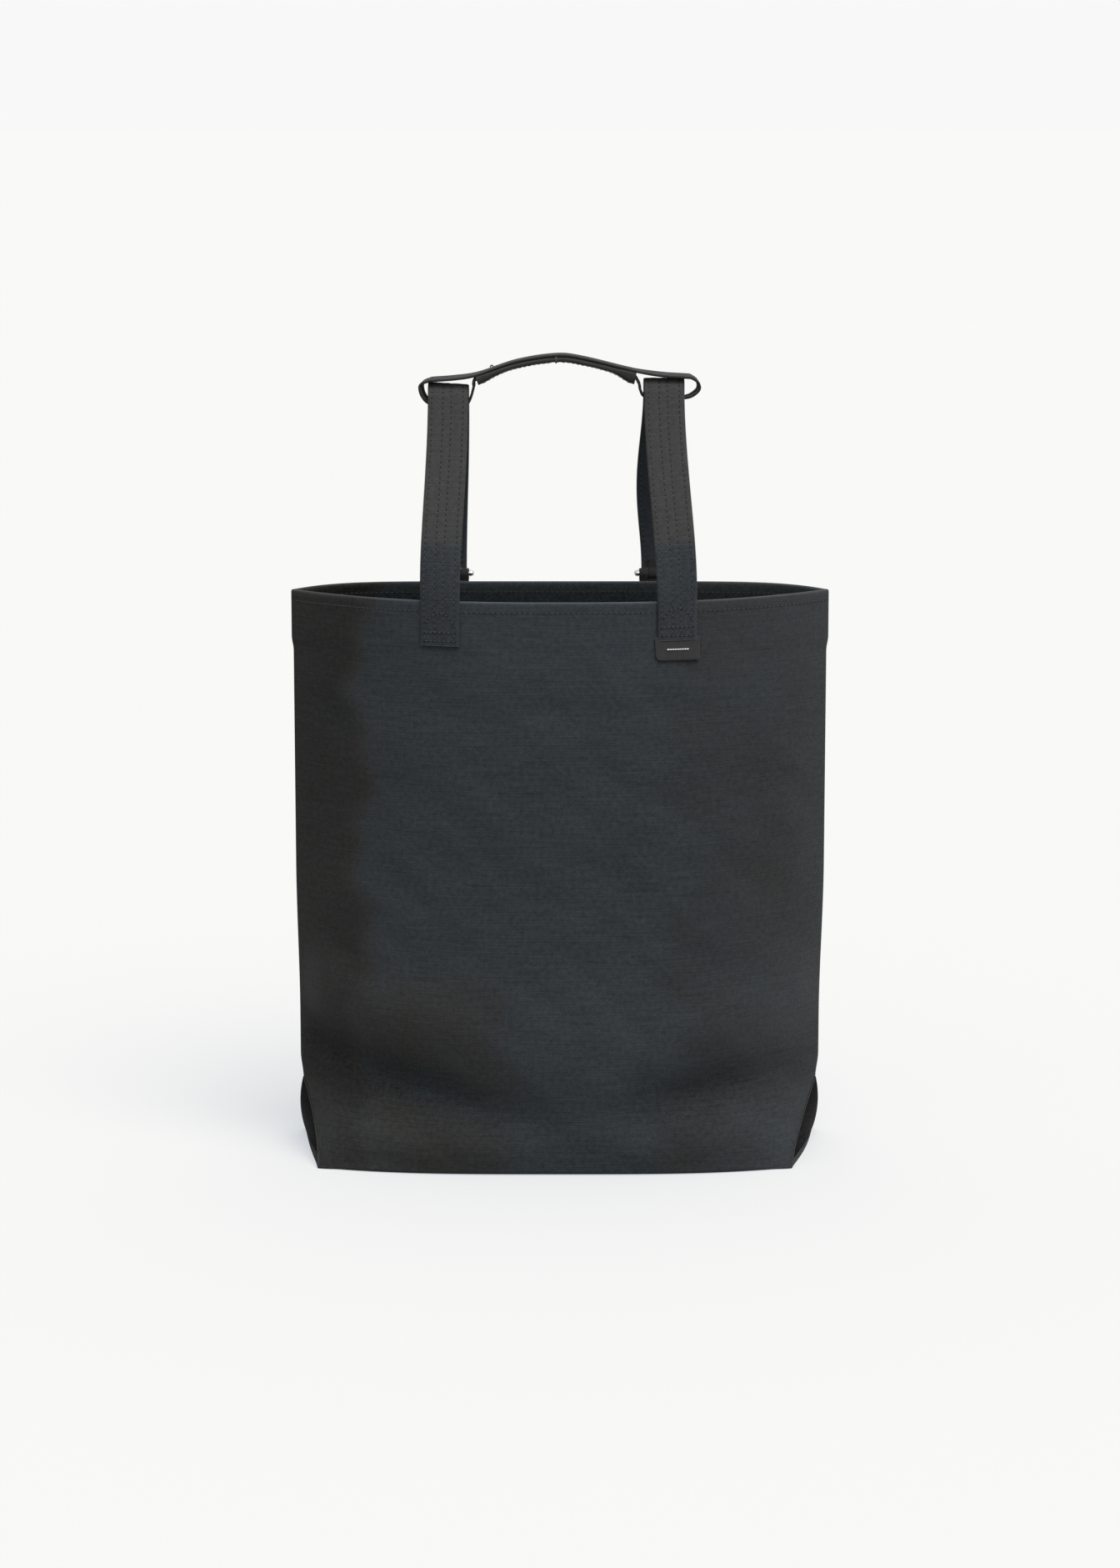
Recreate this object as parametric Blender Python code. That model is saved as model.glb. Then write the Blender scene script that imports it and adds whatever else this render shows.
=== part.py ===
"""Canvas tote bag with two webbing shoulder straps and a carry grip threaded through their tops.

The bag stands on its base on the plane z = 0, with its front towards -Y. Run with:
blender --background --python part.py
"""

import math

import bmesh
import bpy
from mathutils import Vector
from mathutils.geometry import interpolate_bezier

# Body, in metres.
RIM_HEIGHT = 0.4345
RIM_HALF_WIDTH = 0.2035
PINCH_HEIGHT = 0.055  # where the side seams end and the folded base opens
PINCH_HALF_WIDTH = 0.1985
SEAM_Y = 0.010
SEAM_SETBACK = 0.0015  # from the seam plane to each panel's outer edge
CANVAS = 0.0016  # thickness of the canvas
GAP = 0.0003  # kept between touching pieces

# How far each panel stands out from the seam plane at the rim and at the base, the
# exponents of its rounding there, and where its bottom corner is.
FRONT = {
    "side": -1,
    "rim_bulge": 0.083,
    "base_bulge": 0.086,
    "rim_power": 2.6,
    "base_power": 3.4,
    "corner_x": 0.1805,
    "corner_depth": 0.068,
}
BACK = {
    "side": 1,
    "rim_bulge": 0.052,
    "base_bulge": 0.066,
    "rim_power": 7.0,
    "base_power": 5.0,
    "corner_x": 0.2010,
    "corner_depth": 0.056,
}

HEM_HEIGHT = 0.036
HEM_REACH = 0.955  # share of the half width that the hem facing covers
FIN_INNER = 0.0130  # the bound seam allowance, measured inwards from the side seam
FIN_OUTER = 0.0035
FIN_HALF_THICKNESS = 0.0011
GUSSET_RECESS = 0.0030
GUSSET_CLEARANCE = 0.0030
GUSSET_HOLLOW = 0.0140

# Shoulder straps.
STRAP_WIDTH = 0.030
STRAP_THICKNESS = 0.0022
ARCH_RADIUS = 0.015  # of the strap's middle layer over the grip
ARCH_SPREAD = math.radians(20)  # how far above its centre the arch runs into the straight legs
ROOT_HEIGHT = 0.045  # the free webbing that flexes above the rim
LEG_HANDLE = 0.055
ROOT_HANDLE = 0.045
STRAPS = {
    "left": {
        "top": 0.5912,
        "anchor_bottom": 0.4030,
        "front_x": -0.0890,
        "top_x": -0.0835,
        "back_x": -0.0868,
    },
    "right": {
        "top": 0.5952,
        "anchor_bottom": 0.4083,
        "front_x": 0.0850,
        "top_x": 0.0778,
        "back_x": 0.0777,
    },
}

# Back attachment: a folded tab whose two lugs carry a steel cross pin.
PIN_HEIGHT = 0.4405
PIN_RADIUS = 0.0023
PIN_HEAD_RADIUS = 0.0026
PIN_REACH = 0.0042  # of each domed end past the tab
BORE_RADIUS = 0.0026
EYE_RADIUS = 0.0041
TAB_WIDTH = 0.033
TAB_BOTTOM = 0.4000
TAB_HALF_THICKNESS = 0.0016
NOTCH_HALF_WIDTH = 0.0099
EYE_HALF_WIDTH = 0.0095

# Carry grip: one flat webbing loop, its lower run inside a canvas sleeve.
GRIP_WIDTH = 0.025
GRIP_THICKNESS = 0.0022
SLEEVE_WIDTH = 0.0284
SLEEVE_THICKNESS = 0.0038
SLEEVE_BORE_WIDTH = 0.0258
SLEEVE_BORE_THICKNESS = 0.0028
SLEEVE_SEAM = -0.0030  # x of the seam between the sleeve's halves
SLEEVE_LEFT = -0.0630
SLEEVE_RIGHT = 0.0580
# The loop's middle layer in the X-Z plane, hand to hand over the strap tops.
GRIP_UPPER = [
    (-0.0950, 0.5939),
    (-0.0780, 0.5952),
    (-0.0607, 0.5979),
    (-0.0321, 0.6072),
    (-0.0030, 0.6116),
    (0.0165, 0.6096),
    (0.0483, 0.6020),
    (0.0607, 0.5998),
    (0.0780, 0.5981),
    (0.0950, 0.5967),
]
GRIP_LEFT_END = [(-0.0980, 0.5934), (-0.1036, 0.5905), (-0.1030, 0.5835), (-0.0985, 0.5775), (-0.0920, 0.5756)]
GRIP_RIGHT_END = [(0.0984, 0.5961), (0.1030, 0.5922), (0.1036, 0.5868), (0.0985, 0.5822), (0.0930, 0.5806)]
GRIP_LOWER_LEFT = [(-0.0880, 0.5751), (-0.0740, 0.5751), (-0.0692, 0.5762), (-0.0664, 0.5815), (-0.0645, 0.5885)]
GRIP_LOWER_RIGHT = [(0.0588, 0.5915), (0.0600, 0.5862), (0.0625, 0.5819), (0.0690, 0.5804), (0.0880, 0.5803)]
SLEEVE_DROP = (SLEEVE_THICKNESS + GRIP_THICKNESS) / 2 + GAP

# Label sewn in under the end of the right strap.
LABEL_X = 0.0866
LABEL_WIDTH = 0.0316
LABEL_TOP = 0.4080
LABEL_HEIGHT = 0.0145
LABEL_THICKNESS = 0.0008

# Base colour, roughness and metallic of each material.
MATERIALS = {
    "canvas": ((0.040, 0.046, 0.051), 0.92, 0.0),
    "webbing": ((0.052, 0.055, 0.057), 0.88, 0.0),
    "binding": ((0.030, 0.032, 0.034), 0.85, 0.0),
    "label_weave": ((0.045, 0.046, 0.052), 0.75, 0.0),
    "steel": ((0.62, 0.62, 0.61), 0.22, 1.0),
}


def clear_scene():
    for old in list(bpy.data.objects):
        bpy.data.objects.remove(old, do_unlink=True)


def material(name):
    found = bpy.data.materials.get(name)
    if found:
        return found
    colour, roughness, metallic = MATERIALS[name]
    made = bpy.data.materials.new(name)
    made.use_nodes = True
    shader = made.node_tree.nodes["Principled BSDF"]
    shader.inputs["Base Color"].default_value = (*colour, 1.0)
    shader.inputs["Roughness"].default_value = roughness
    shader.inputs["Metallic"].default_value = metallic
    return made


def add_object(name, bm, slot):
    """Makes a named object from bm, with its faces turned outwards."""
    bmesh.ops.recalc_face_normals(bm, faces=bm.faces)
    mesh = bpy.data.meshes.new(name)
    bm.to_mesh(mesh)
    bm.free()
    mesh.shade_smooth()
    mesh.set_sharp_from_angle(angle=math.radians(35))
    made = bpy.data.objects.new(name, mesh)
    bpy.context.scene.collection.objects.link(made)
    if slot:
        mesh.materials.append(material(slot))
    else:
        made.hide_render = True
        made.display_type = "WIRE"
    return made


def mix(a, b, share):
    return a + (b - a) * share


def smooth_step(share):
    return share * share * (3 - 2 * share)


def spaced(low, high, count):
    return [mix(low, high, k / (count - 1)) for k in range(count)]


def add_grid(bm, points):
    """Adds a grid of vertices from rows of points, and returns them as rows."""
    return [[bm.verts.new(point) for point in row] for row in points]


def slab(name, outer, inner, slot):
    """A closed solid between two grids of points that have the same rows and columns."""
    bm = bmesh.new()
    a = add_grid(bm, outer)
    b = add_grid(bm, inner)
    rows, columns = len(a), len(a[0])
    for i in range(rows - 1):
        for k in range(columns - 1):
            bm.faces.new((a[i][k], a[i][k + 1], a[i + 1][k + 1], a[i + 1][k]))
            bm.faces.new((b[i][k], b[i + 1][k], b[i + 1][k + 1], b[i][k + 1]))
    for i in range(rows - 1):
        for k in (0, columns - 1):
            bm.faces.new((a[i][k], a[i + 1][k], b[i + 1][k], b[i][k]))
    for k in range(columns - 1):
        for i in (0, rows - 1):
            bm.faces.new((a[i][k], a[i][k + 1], b[i][k + 1], b[i][k]))
    return add_object(name, bm, slot)


# --- body -------------------------------------------------------------------------------


def opened(z):
    """How far the folded base has opened at height z: 0 at the pinch, 1 on the floor."""
    return max(0.0, 1 - z / PINCH_HEIGHT)


def half_width(panel, z):
    if z >= PINCH_HEIGHT:
        share = (z - PINCH_HEIGHT) / (RIM_HEIGHT - PINCH_HEIGHT)
        return mix(PINCH_HALF_WIDTH, RIM_HALF_WIDTH, share)
    return mix(PINCH_HALF_WIDTH, panel["corner_x"], opened(z))


def panel_point(panel, u, z):
    """The outer surface at u, from -1 at the left edge to 1 at the right, and height z."""
    share = smooth_step(z / RIM_HEIGHT)
    bulge = mix(panel["base_bulge"], panel["rim_bulge"], share)
    power = mix(panel["base_power"], panel["rim_power"], share)
    edge = max(SEAM_SETBACK, panel["corner_depth"] * opened(z))
    depth = edge + (bulge - edge) * (1 - abs(u) ** power)
    return Vector((u * half_width(panel, z), SEAM_Y + panel["side"] * depth, z))


def inward(panel, u, z):
    """The level unit vector into the bag at a point of the panel."""
    step = 0.004
    low, high = max(-1.0, u - step), min(1.0, u + step)
    along = panel_point(panel, high, z) - panel_point(panel, low, z)
    return Vector((along.y, -along.x, 0)).normalized() * panel["side"]


def panel_layer(panel, us, zs, depth):
    return [[panel_point(panel, u, z) + inward(panel, u, z) * depth for u in us] for z in zs]


def edge_dense(count, reach):
    """Values from -reach to reach that crowd towards both ends."""
    return [reach * math.sin(math.pi / 2 * t) for t in spaced(-1.0, 1.0, count)]


def make_panel(name, panel):
    us = edge_dense(37, 1.0)
    zs = spaced(0.0, PINCH_HEIGHT, 8) + spaced(PINCH_HEIGHT, RIM_HEIGHT, 14)[1:]
    slab(name, panel_layer(panel, us, zs, 0.0), panel_layer(panel, us, zs, CANVAS), "canvas")


def make_hem(name, panel):
    us = edge_dense(31, HEM_REACH)
    zs = spaced(RIM_HEIGHT - HEM_HEIGHT, RIM_HEIGHT, 4)
    near, far = CANVAS + GAP, 2 * CANVAS + GAP
    slab(name, panel_layer(panel, us, zs, near), panel_layer(panel, us, zs, far), "canvas")


def gusset_hollow(v, z):
    """How deep a turned-up base end sinks, v running from its front edge to its back one."""
    return GUSSET_HOLLOW * math.sin(math.pi * v) * math.sin(math.pi * min(1, z / PINCH_HEIGHT))


def gusset_x(side, v, z):
    front, back = half_width(FRONT, z), half_width(BACK, z)
    return side * (mix(front, back, v) - GUSSET_RECESS - gusset_hollow(v, z))


def gusset_layer(side, depth):
    rows = []
    for z in spaced(0.0, PINCH_HEIGHT * 0.86, 8):
        front = SEAM_Y - FRONT["corner_depth"] * opened(z) + GUSSET_CLEARANCE
        back = SEAM_Y + BACK["corner_depth"] * opened(z) - GUSSET_CLEARANCE
        rows.append([
            Vector((gusset_x(side, v, z) - side * depth, mix(front, back, v), z))
            for v in spaced(0.0, 1.0, 9)
        ])
    return rows


def make_gusset(name, side):
    slab(name, gusset_layer(side, 0.0), gusset_layer(side, CANVAS), "canvas")


def make_base():
    """The flat floor of the bag, between the panels and the turned-up ends."""
    inset = GUSSET_RECESS + gusset_hollow(0.5, CANVAS) + CANVAS + 2 * GAP
    layers = []
    for z in (0.0, CANVAS):
        rows = []
        for u in edge_dense(25, 1.0):
            row = []
            for panel in (FRONT, BACK):
                reach = 1 - inset / panel["corner_x"]
                point = panel_point(panel, u * reach, z)
                row.append(point + inward(panel, u * reach, z) * (CANVAS + 2 * GAP))
            rows.append(row)
        layers.append(rows)
    slab("base_panel", layers[0], layers[1], "canvas")


def make_seam_binding(name, side):
    """The taped seam allowance that stands inwards from a side seam."""
    layers = []
    for y in (SEAM_Y - FIN_HALF_THICKNESS, SEAM_Y + FIN_HALF_THICKNESS):
        rows = []
        for z in spaced(PINCH_HEIGHT + 0.010, RIM_HEIGHT - HEM_HEIGHT - 0.002, 6):
            seam = half_width(FRONT, z)
            rows.append([Vector((side * (seam - inset), y, z)) for inset in (FIN_OUTER, FIN_INNER)])
        layers.append(rows)
    slab(name, layers[0], layers[1], "binding")


# --- straps -----------------------------------------------------------------------------


def front_y(x, z):
    return panel_point(FRONT, x / half_width(FRONT, z), z).y


def front_tangent(x, z):
    """The level direction along the front panel at x, pointing to +X."""
    step = 0.002
    return Vector((2 * step, front_y(x + step, z) - front_y(x - step, z), 0)).normalized()


def pin_y():
    """The cross pins lie in the plane of the tabs on the back panel."""
    return panel_point(BACK, 0.4, TAB_BOTTOM).y + GAP + TAB_HALF_THICKNESS


def make_anchor(name, strap):
    """The sewn-down end of a strap, lying on the front panel."""
    x = strap["front_x"]
    layers = []
    for depth in (GAP, GAP + STRAP_THICKNESS):
        rows = []
        for z in spaced(strap["anchor_bottom"], RIM_HEIGHT, 5):
            columns = spaced(x - STRAP_WIDTH / 2, x + STRAP_WIDTH / 2, 9)
            rows.append([Vector((c, front_y(c, z) - depth, z)) for c in columns])
        layers.append(rows)
    slab(name, layers[0], layers[1], "webbing")


def arch_height(strap):
    return strap["top"] - ARCH_RADIUS - STRAP_THICKNESS / 2


def arch_point(strap, angle):
    rise = arch_height(strap) + ARCH_RADIUS * math.sin(angle)
    return Vector((strap["top_x"], ARCH_RADIUS * math.cos(angle), rise))


def strap_route(strap):
    """The middle of a strap from the front rim, over the arch, to just above its cross pin."""
    front_end = math.pi - ARCH_SPREAD
    back_end = ARCH_SPREAD
    arch = [arch_point(strap, a) for a in spaced(front_end, back_end, 25)]
    x = strap["front_x"]
    start = Vector((x, front_y(x, RIM_HEIGHT) - GAP - STRAP_THICKNESS / 2, RIM_HEIGHT))
    finish = Vector((strap["back_x"], pin_y(), PIN_HEIGHT + EYE_RADIUS + GAP))
    down = Vector((0, -math.sin(ARCH_SPREAD), -math.cos(ARCH_SPREAD)))
    front = interpolate_bezier(
        start, start + Vector((0, 0, ROOT_HANDLE)), arch[0] + down * LEG_HANDLE, arch[0], 33
    )
    down.y = -down.y
    back = interpolate_bezier(
        arch[-1], arch[-1] + down * LEG_HANDLE, finish + Vector((0, 0, ROOT_HANDLE)), finish, 33
    )
    return front[:-1] + arch + back[1:], len(front) - 1, len(front) - 2 + len(arch)


def lengths(points):
    """The length along a line of points, up to each of them."""
    total = [0.0]
    for a, b in zip(points, points[1:]):
        total.append(total[-1] + (b - a).length)
    return total


def point_at(points, marks, length):
    for k in range(len(points) - 2):
        if length <= marks[k + 1]:
            break
    share = (length - marks[k]) / (marks[k + 1] - marks[k])
    return points[k].lerp(points[k + 1], share)


def cut(points, start, end, step):
    """Points about a step apart along the stretch from start to end, and its two end directions."""
    marks = lengths(points)
    count = max(3, round((end - start) / step) + 1)
    line = [point_at(points, marks, s) for s in spaced(start, end, count)]
    near = 0.0005
    first = point_at(points, marks, start + near) - point_at(points, marks, start - near)
    last = point_at(points, marks, end + near) - point_at(points, marks, end - near)
    return line, (first.normalized(), last.normalized())


def ring(centre, across, normal, width, thickness):
    side, lift = across * width / 2, normal * thickness / 2
    return [centre - side - lift, centre + side - lift, centre + side + lift, centre - side + lift]


def directions(line, ends):
    """The unit direction of a line at each of its points."""
    middle = [(c - a).normalized() for a, c in zip(line, line[2:])]
    first, last = ends or ((line[1] - line[0]).normalized(), (line[-1] - line[-2]).normalized())
    return [first, *middle, last]


def sweep(name, line, width, thickness, slot, across=None, ends=None, bore=None):
    """A flat strip along a line, or a flat tube when bore gives its inner width and thickness."""
    bm = bmesh.new()
    hoops = []
    for centre, along in zip(line, directions(line, ends)):
        wide = across(centre) if across else Vector((0, 1, 0))
        wide = (wide - along * wide.dot(along)).normalized()
        normal = wide.cross(along)
        hoop = [bm.verts.new(p) for p in ring(centre, wide, normal, width, thickness)]
        hole = [bm.verts.new(p) for p in ring(centre, wide, normal, *bore)] if bore else None
        hoops.append((hoop, hole))
    for (hoop, hole), (next_hoop, next_hole) in zip(hoops, hoops[1:]):
        for k in range(4):
            n = (k + 1) % 4
            bm.faces.new((hoop[k], hoop[n], next_hoop[n], next_hoop[k]))
            if bore:
                bm.faces.new((hole[k], next_hole[k], next_hole[n], hole[n]))
    for hoop, hole in (hoops[0], hoops[-1]):
        if not bore:
            bm.faces.new(hoop)
            continue
        for k in range(4):
            n = (k + 1) % 4
            bm.faces.new((hoop[k], hoop[n], hole[n], hole[k]))
    return add_object(name, bm, slot)


def make_strap(hand, strap):
    """The free webbing of a strap: a root, a leg, the top, a leg and a root."""
    route, arch_start, arch_end = strap_route(strap)
    marks = lengths(route)
    edge = front_tangent(strap["front_x"], RIM_HEIGHT)

    def across(centre):
        rise = (centre.z - RIM_HEIGHT) / ROOT_HEIGHT
        share = min(1.0, max(0.0, rise)) if centre.y < 0 else 1.0
        return edge.lerp(Vector((1, 0, 0)), share)

    stops = [
        ("front_root", GAP, ROOT_HEIGHT),
        ("front_leg", ROOT_HEIGHT, marks[arch_start]),
        ("strap_top", marks[arch_start], marks[arch_end]),
        ("back_leg", marks[arch_end], marks[-1] - ROOT_HEIGHT),
        ("back_root", marks[-1] - ROOT_HEIGHT, marks[-1]),
    ]
    for label, start, end in stops:
        step = 0.0045 if label == "strap_top" else 0.011
        line, ends = cut(route, start + GAP / 2, end - GAP / 2, step)
        sweep(f"{hand}_{label}", line, STRAP_WIDTH, STRAP_THICKNESS, "webbing", across, ends)


def prism(name, outline, x_low, x_high, slot):
    """A solid with a (y, z) outline, between two x values."""
    bm = bmesh.new()
    low = [bm.verts.new((x_low, y, z)) for y, z in outline]
    high = [bm.verts.new((x_high, y, z)) for y, z in outline]
    for k in range(len(outline)):
        n = (k + 1) % len(outline)
        bm.faces.new((low[k], low[n], high[n], high[k]))
    bm.faces.new(low)
    bm.faces.new(high)
    return add_object(name, bm, slot)


def keyhole(y, z, radius, half_thickness, tail_z):
    """The outline of a folded loop of webbing: a round eye with a straight tail to tail_z."""
    turn = -1 if tail_z < z else 1
    open_angle = math.asin(half_thickness / radius)
    arc = spaced(open_angle, 2 * math.pi - open_angle, 23)
    outline = [(y + radius * math.sin(a), z + turn * radius * math.cos(a)) for a in arc]
    return outline + [(y - half_thickness, tail_z), (y + half_thickness, tail_z)]


def cut_away(target, cutter):
    boolean = target.modifiers.new(cutter.name, "BOOLEAN")
    boolean.operation = "DIFFERENCE"
    boolean.solver = "EXACT"
    boolean.object = cutter


def circle(y, z, radius, count):
    angles = [math.tau * k / count for k in range(count)]
    return [(y + radius * math.cos(a), z + radius * math.sin(a)) for a in angles]


def make_pin(name, x, y):
    """A cross pin with a domed head at each end, turned about its own line."""
    half = TAB_WIDTH / 2
    profile = [(0.0, half + PIN_REACH)]
    for angle in spaced(0.25, math.pi / 2, 5):
        dome = PIN_REACH * 0.6
        profile.append((PIN_HEAD_RADIUS * math.sin(angle), half + PIN_REACH - dome * (1 - math.cos(angle))))
    profile.append((PIN_HEAD_RADIUS, half + 2 * GAP))
    profile.append((PIN_RADIUS, half + 2 * GAP))
    profile += [(radius, -along) for radius, along in reversed(profile)]
    bm = bmesh.new()
    points = [bm.verts.new((along, radius, 0)) for radius, along in profile]
    edges = [bm.edges.new(pair) for pair in zip(points, points[1:])]
    bmesh.ops.spin(
        bm, geom=points + edges, cent=(0, 0, 0), axis=(1, 0, 0), angle=math.tau, steps=20,
        use_duplicate=False, use_merge=True,
    )
    bmesh.ops.remove_doubles(bm, verts=bm.verts, dist=1e-6)
    pin = add_object(name, bm, "steel")
    pin.location = (x, y, PIN_HEIGHT)


def make_back_attachment(hand, strap):
    """A folded tab on the back panel, its cross pin, and the strap's own eye between the lugs."""
    y = pin_y()
    x = strap["back_x"]
    bore = circle(y, PIN_HEIGHT, BORE_RADIUS, 24)
    bore_cutter = prism(f"{hand}_bore_cutter", bore, x - TAB_WIDTH, x + TAB_WIDTH, None)
    notch_low = PIN_HEIGHT - EYE_RADIUS - 2 * GAP
    notch = [(y - 0.02, notch_low), (y + 0.02, notch_low), (y + 0.02, 0.47), (y - 0.02, 0.47)]
    notch_cutter = prism(
        f"{hand}_notch_cutter", notch, x - NOTCH_HALF_WIDTH, x + NOTCH_HALF_WIDTH, None
    )
    fold = keyhole(y, PIN_HEIGHT, EYE_RADIUS, TAB_HALF_THICKNESS, TAB_BOTTOM)
    tab = prism(f"{hand}_back_tab", fold, x - TAB_WIDTH / 2, x + TAB_WIDTH / 2, "webbing")
    cut_away(tab, bore_cutter)
    cut_away(tab, notch_cutter)
    loop = keyhole(y, PIN_HEIGHT, EYE_RADIUS, STRAP_THICKNESS / 2, PIN_HEIGHT + EYE_RADIUS + GAP / 2)
    eye = prism(f"{hand}_strap_eye", loop, x - EYE_HALF_WIDTH, x + EYE_HALF_WIDTH, "webbing")
    cut_away(eye, bore_cutter)
    make_pin(f"{hand}_cross_pin", x, y)


# --- grip and label -----------------------------------------------------------------------


def through(knots, per_span=5):
    """A smooth line in the X-Z plane through the knots, by Catmull-Rom spans."""
    points = [Vector((x, 0, z)) for x, z in knots]
    ends = [2 * points[0] - points[1], *points, 2 * points[-1] - points[-2]]
    line = []
    for a, b, c, d in zip(ends, ends[1:], ends[2:], ends[3:]):
        for k in range(per_span):
            line += interpolate_bezier(b, b + (c - a) / 6, c - (d - b) / 6, c, per_span + 1)[k:k + 1]
    return [*line, points[-1]]


def stretch(line, low, high):
    """The points of a line that lie between two x values, with its ends exactly there."""
    def at(x):
        for a, b in zip(line, line[1:]):
            if a.x <= x <= b.x:
                return a.lerp(b, (x - a.x) / (b.x - a.x))
        return None

    inside = [p for p in line if low + 0.001 < p.x < high - 0.001]
    return [at(low), *inside, at(high)]


def lowered(line, drop):
    return [p - Vector((0, 0, drop)) for p in line]


def make_grip():
    upper = through(GRIP_UPPER)
    sleeve_line = lowered(upper, SLEEVE_DROP)
    sweep("grip_upper_band", upper, GRIP_WIDTH, GRIP_THICKNESS, "webbing")
    for name, join, end in (
        ("grip_left_loop", GRIP_UPPER[0], GRIP_LEFT_END),
        ("grip_right_loop", GRIP_UPPER[-1], GRIP_RIGHT_END),
    ):
        knots = [(join[0] + math.copysign(GAP, end[0][0]), join[1]), *end]
        sweep(name, through(knots, 4), GRIP_WIDTH, GRIP_THICKNESS, "webbing")
    left_end = (GRIP_LEFT_END[-1][0] + GAP, GRIP_LEFT_END[-1][1])
    right_end = (GRIP_RIGHT_END[-1][0] - GAP, GRIP_RIGHT_END[-1][1])
    core = stretch(sleeve_line, SLEEVE_LEFT, SLEEVE_RIGHT)
    knots_left = through([left_end, *GRIP_LOWER_LEFT, (core[0].x, core[0].z)], 4)
    knots_right = through([(core[-1].x, core[-1].z), *GRIP_LOWER_RIGHT, right_end], 4)
    lower = knots_left + core[1:-1] + knots_right
    sweep("grip_lower_band", lower, GRIP_WIDTH, GRIP_THICKNESS, "webbing")
    inset = 0.001
    bore = (SLEEVE_BORE_WIDTH, SLEEVE_BORE_THICKNESS)
    for name, low, high in (
        ("grip_sleeve_left", SLEEVE_LEFT + inset, SLEEVE_SEAM - GAP / 2),
        ("grip_sleeve_right", SLEEVE_SEAM + GAP / 2, SLEEVE_RIGHT - inset),
    ):
        line = stretch(sleeve_line, low, high)
        sweep(name, line, SLEEVE_WIDTH, SLEEVE_THICKNESS, "canvas", bore=bore)


def make_label():
    """A flat woven label whose origin is on its hinge, the front of its sewn top edge."""
    along = front_tangent(LABEL_X, LABEL_TOP)
    outward = Vector((along.y, -along.x, 0))
    near = 2 * GAP + LABEL_THICKNESS
    bm = bmesh.new()
    half = LABEL_WIDTH / 2
    corners = [
        along * x + outward * y + Vector((0, 0, z))
        for z in (0.0, -LABEL_HEIGHT)
        for y in (-LABEL_THICKNESS, 0.0)
        for x in (-half, half)
    ]
    bmesh.ops.convex_hull(bm, input=[bm.verts.new(c) for c in corners])
    label = add_object("label", bm, "label_weave")
    base = Vector((LABEL_X, front_y(LABEL_X, LABEL_TOP - LABEL_HEIGHT), LABEL_TOP))
    label.location = base + outward * near


def main():
    clear_scene()
    make_panel("front_panel", FRONT)
    make_panel("back_panel", BACK)
    make_hem("front_hem", FRONT)
    make_hem("back_hem", BACK)
    make_base()
    for name, side in (("left", -1), ("right", 1)):
        make_gusset(f"{name}_gusset", side)
        make_seam_binding(f"{name}_seam_binding", side)
        make_anchor(f"{name}_front_anchor", STRAPS[name])
        make_strap(name, STRAPS[name])
        make_back_attachment(name, STRAPS[name])
    make_grip()
    make_label()
    bpy.context.view_layer.update()


main()
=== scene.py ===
"""Looks for the canvas tote bag: cloth body, stitched webbing straps, carry grip and label.

Every length is in metres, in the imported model's own frame: +Z up, the front towards -Y.
"""

import math

import bpy
import numpy as np
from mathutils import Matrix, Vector


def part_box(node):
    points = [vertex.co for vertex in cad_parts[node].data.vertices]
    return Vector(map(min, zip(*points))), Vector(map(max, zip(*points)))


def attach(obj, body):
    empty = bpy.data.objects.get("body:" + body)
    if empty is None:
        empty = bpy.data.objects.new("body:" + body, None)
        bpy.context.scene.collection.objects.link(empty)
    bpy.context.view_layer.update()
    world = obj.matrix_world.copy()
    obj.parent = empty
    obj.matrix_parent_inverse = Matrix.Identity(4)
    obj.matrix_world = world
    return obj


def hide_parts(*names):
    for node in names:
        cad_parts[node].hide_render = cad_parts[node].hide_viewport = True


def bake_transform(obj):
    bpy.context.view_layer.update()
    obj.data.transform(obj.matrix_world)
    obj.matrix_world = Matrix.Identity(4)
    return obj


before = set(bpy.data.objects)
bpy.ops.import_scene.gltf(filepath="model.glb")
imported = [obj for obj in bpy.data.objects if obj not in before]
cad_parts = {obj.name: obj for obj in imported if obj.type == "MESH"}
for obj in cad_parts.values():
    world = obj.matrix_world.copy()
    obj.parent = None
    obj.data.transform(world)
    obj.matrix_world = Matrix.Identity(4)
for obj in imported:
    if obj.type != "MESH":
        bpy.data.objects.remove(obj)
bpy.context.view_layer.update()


def box(node):
    """The lowest and highest corners of a CAD node."""
    low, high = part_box(node)
    return np.array(low), np.array(high)


# --- measures taken from the frame --------------------------------------------------------

RIM = box("front_panel")[1][2]
SEAM_Y = 0.010  # the plane of the side seams
PINCH = 0.055  # height where the side seams end and the folded base opens
CANVAS = 0.0012
HEM = 0.036
HEM_FOLD = 0.0017  # radius of the folded rim
BASE_FOLD = 0.0035  # radius of the fold between a panel and the base
SEAM_GAP = 0.0004
LIFT = 0.0002  # of the cloth above the floor
WEBBING = 0.0022
STRAP_WIDTH = 0.030

FRONT = {
    "side": -1,
    "rim_bulge": 0.083,
    "base_bulge": 0.0875,
    "rim_power": 2.6,
    "base_power": 3.4,
    "corner_depth": 0.068,
    "corner": {"left": 0.1838, "right": 0.1760},  # half widths at the floor
    "side_power": {"left": 1.75, "right": 1.3},  # how late the edge runs out to the pinch
    "side_bow": 0.0,
}
BACK = {
    "side": 1,
    "rim_bulge": 0.052,
    "base_bulge": 0.066,
    "rim_power": 7.0,
    "base_power": 5.0,
    "corner_depth": 0.056,
    "corner": {"left": 0.2010, "right": 0.1990},
    "side_power": {"left": 1.0, "right": 1.0},
    "side_bow": 0.0028,  # of the free edge between the floor and the pinch
}

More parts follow.
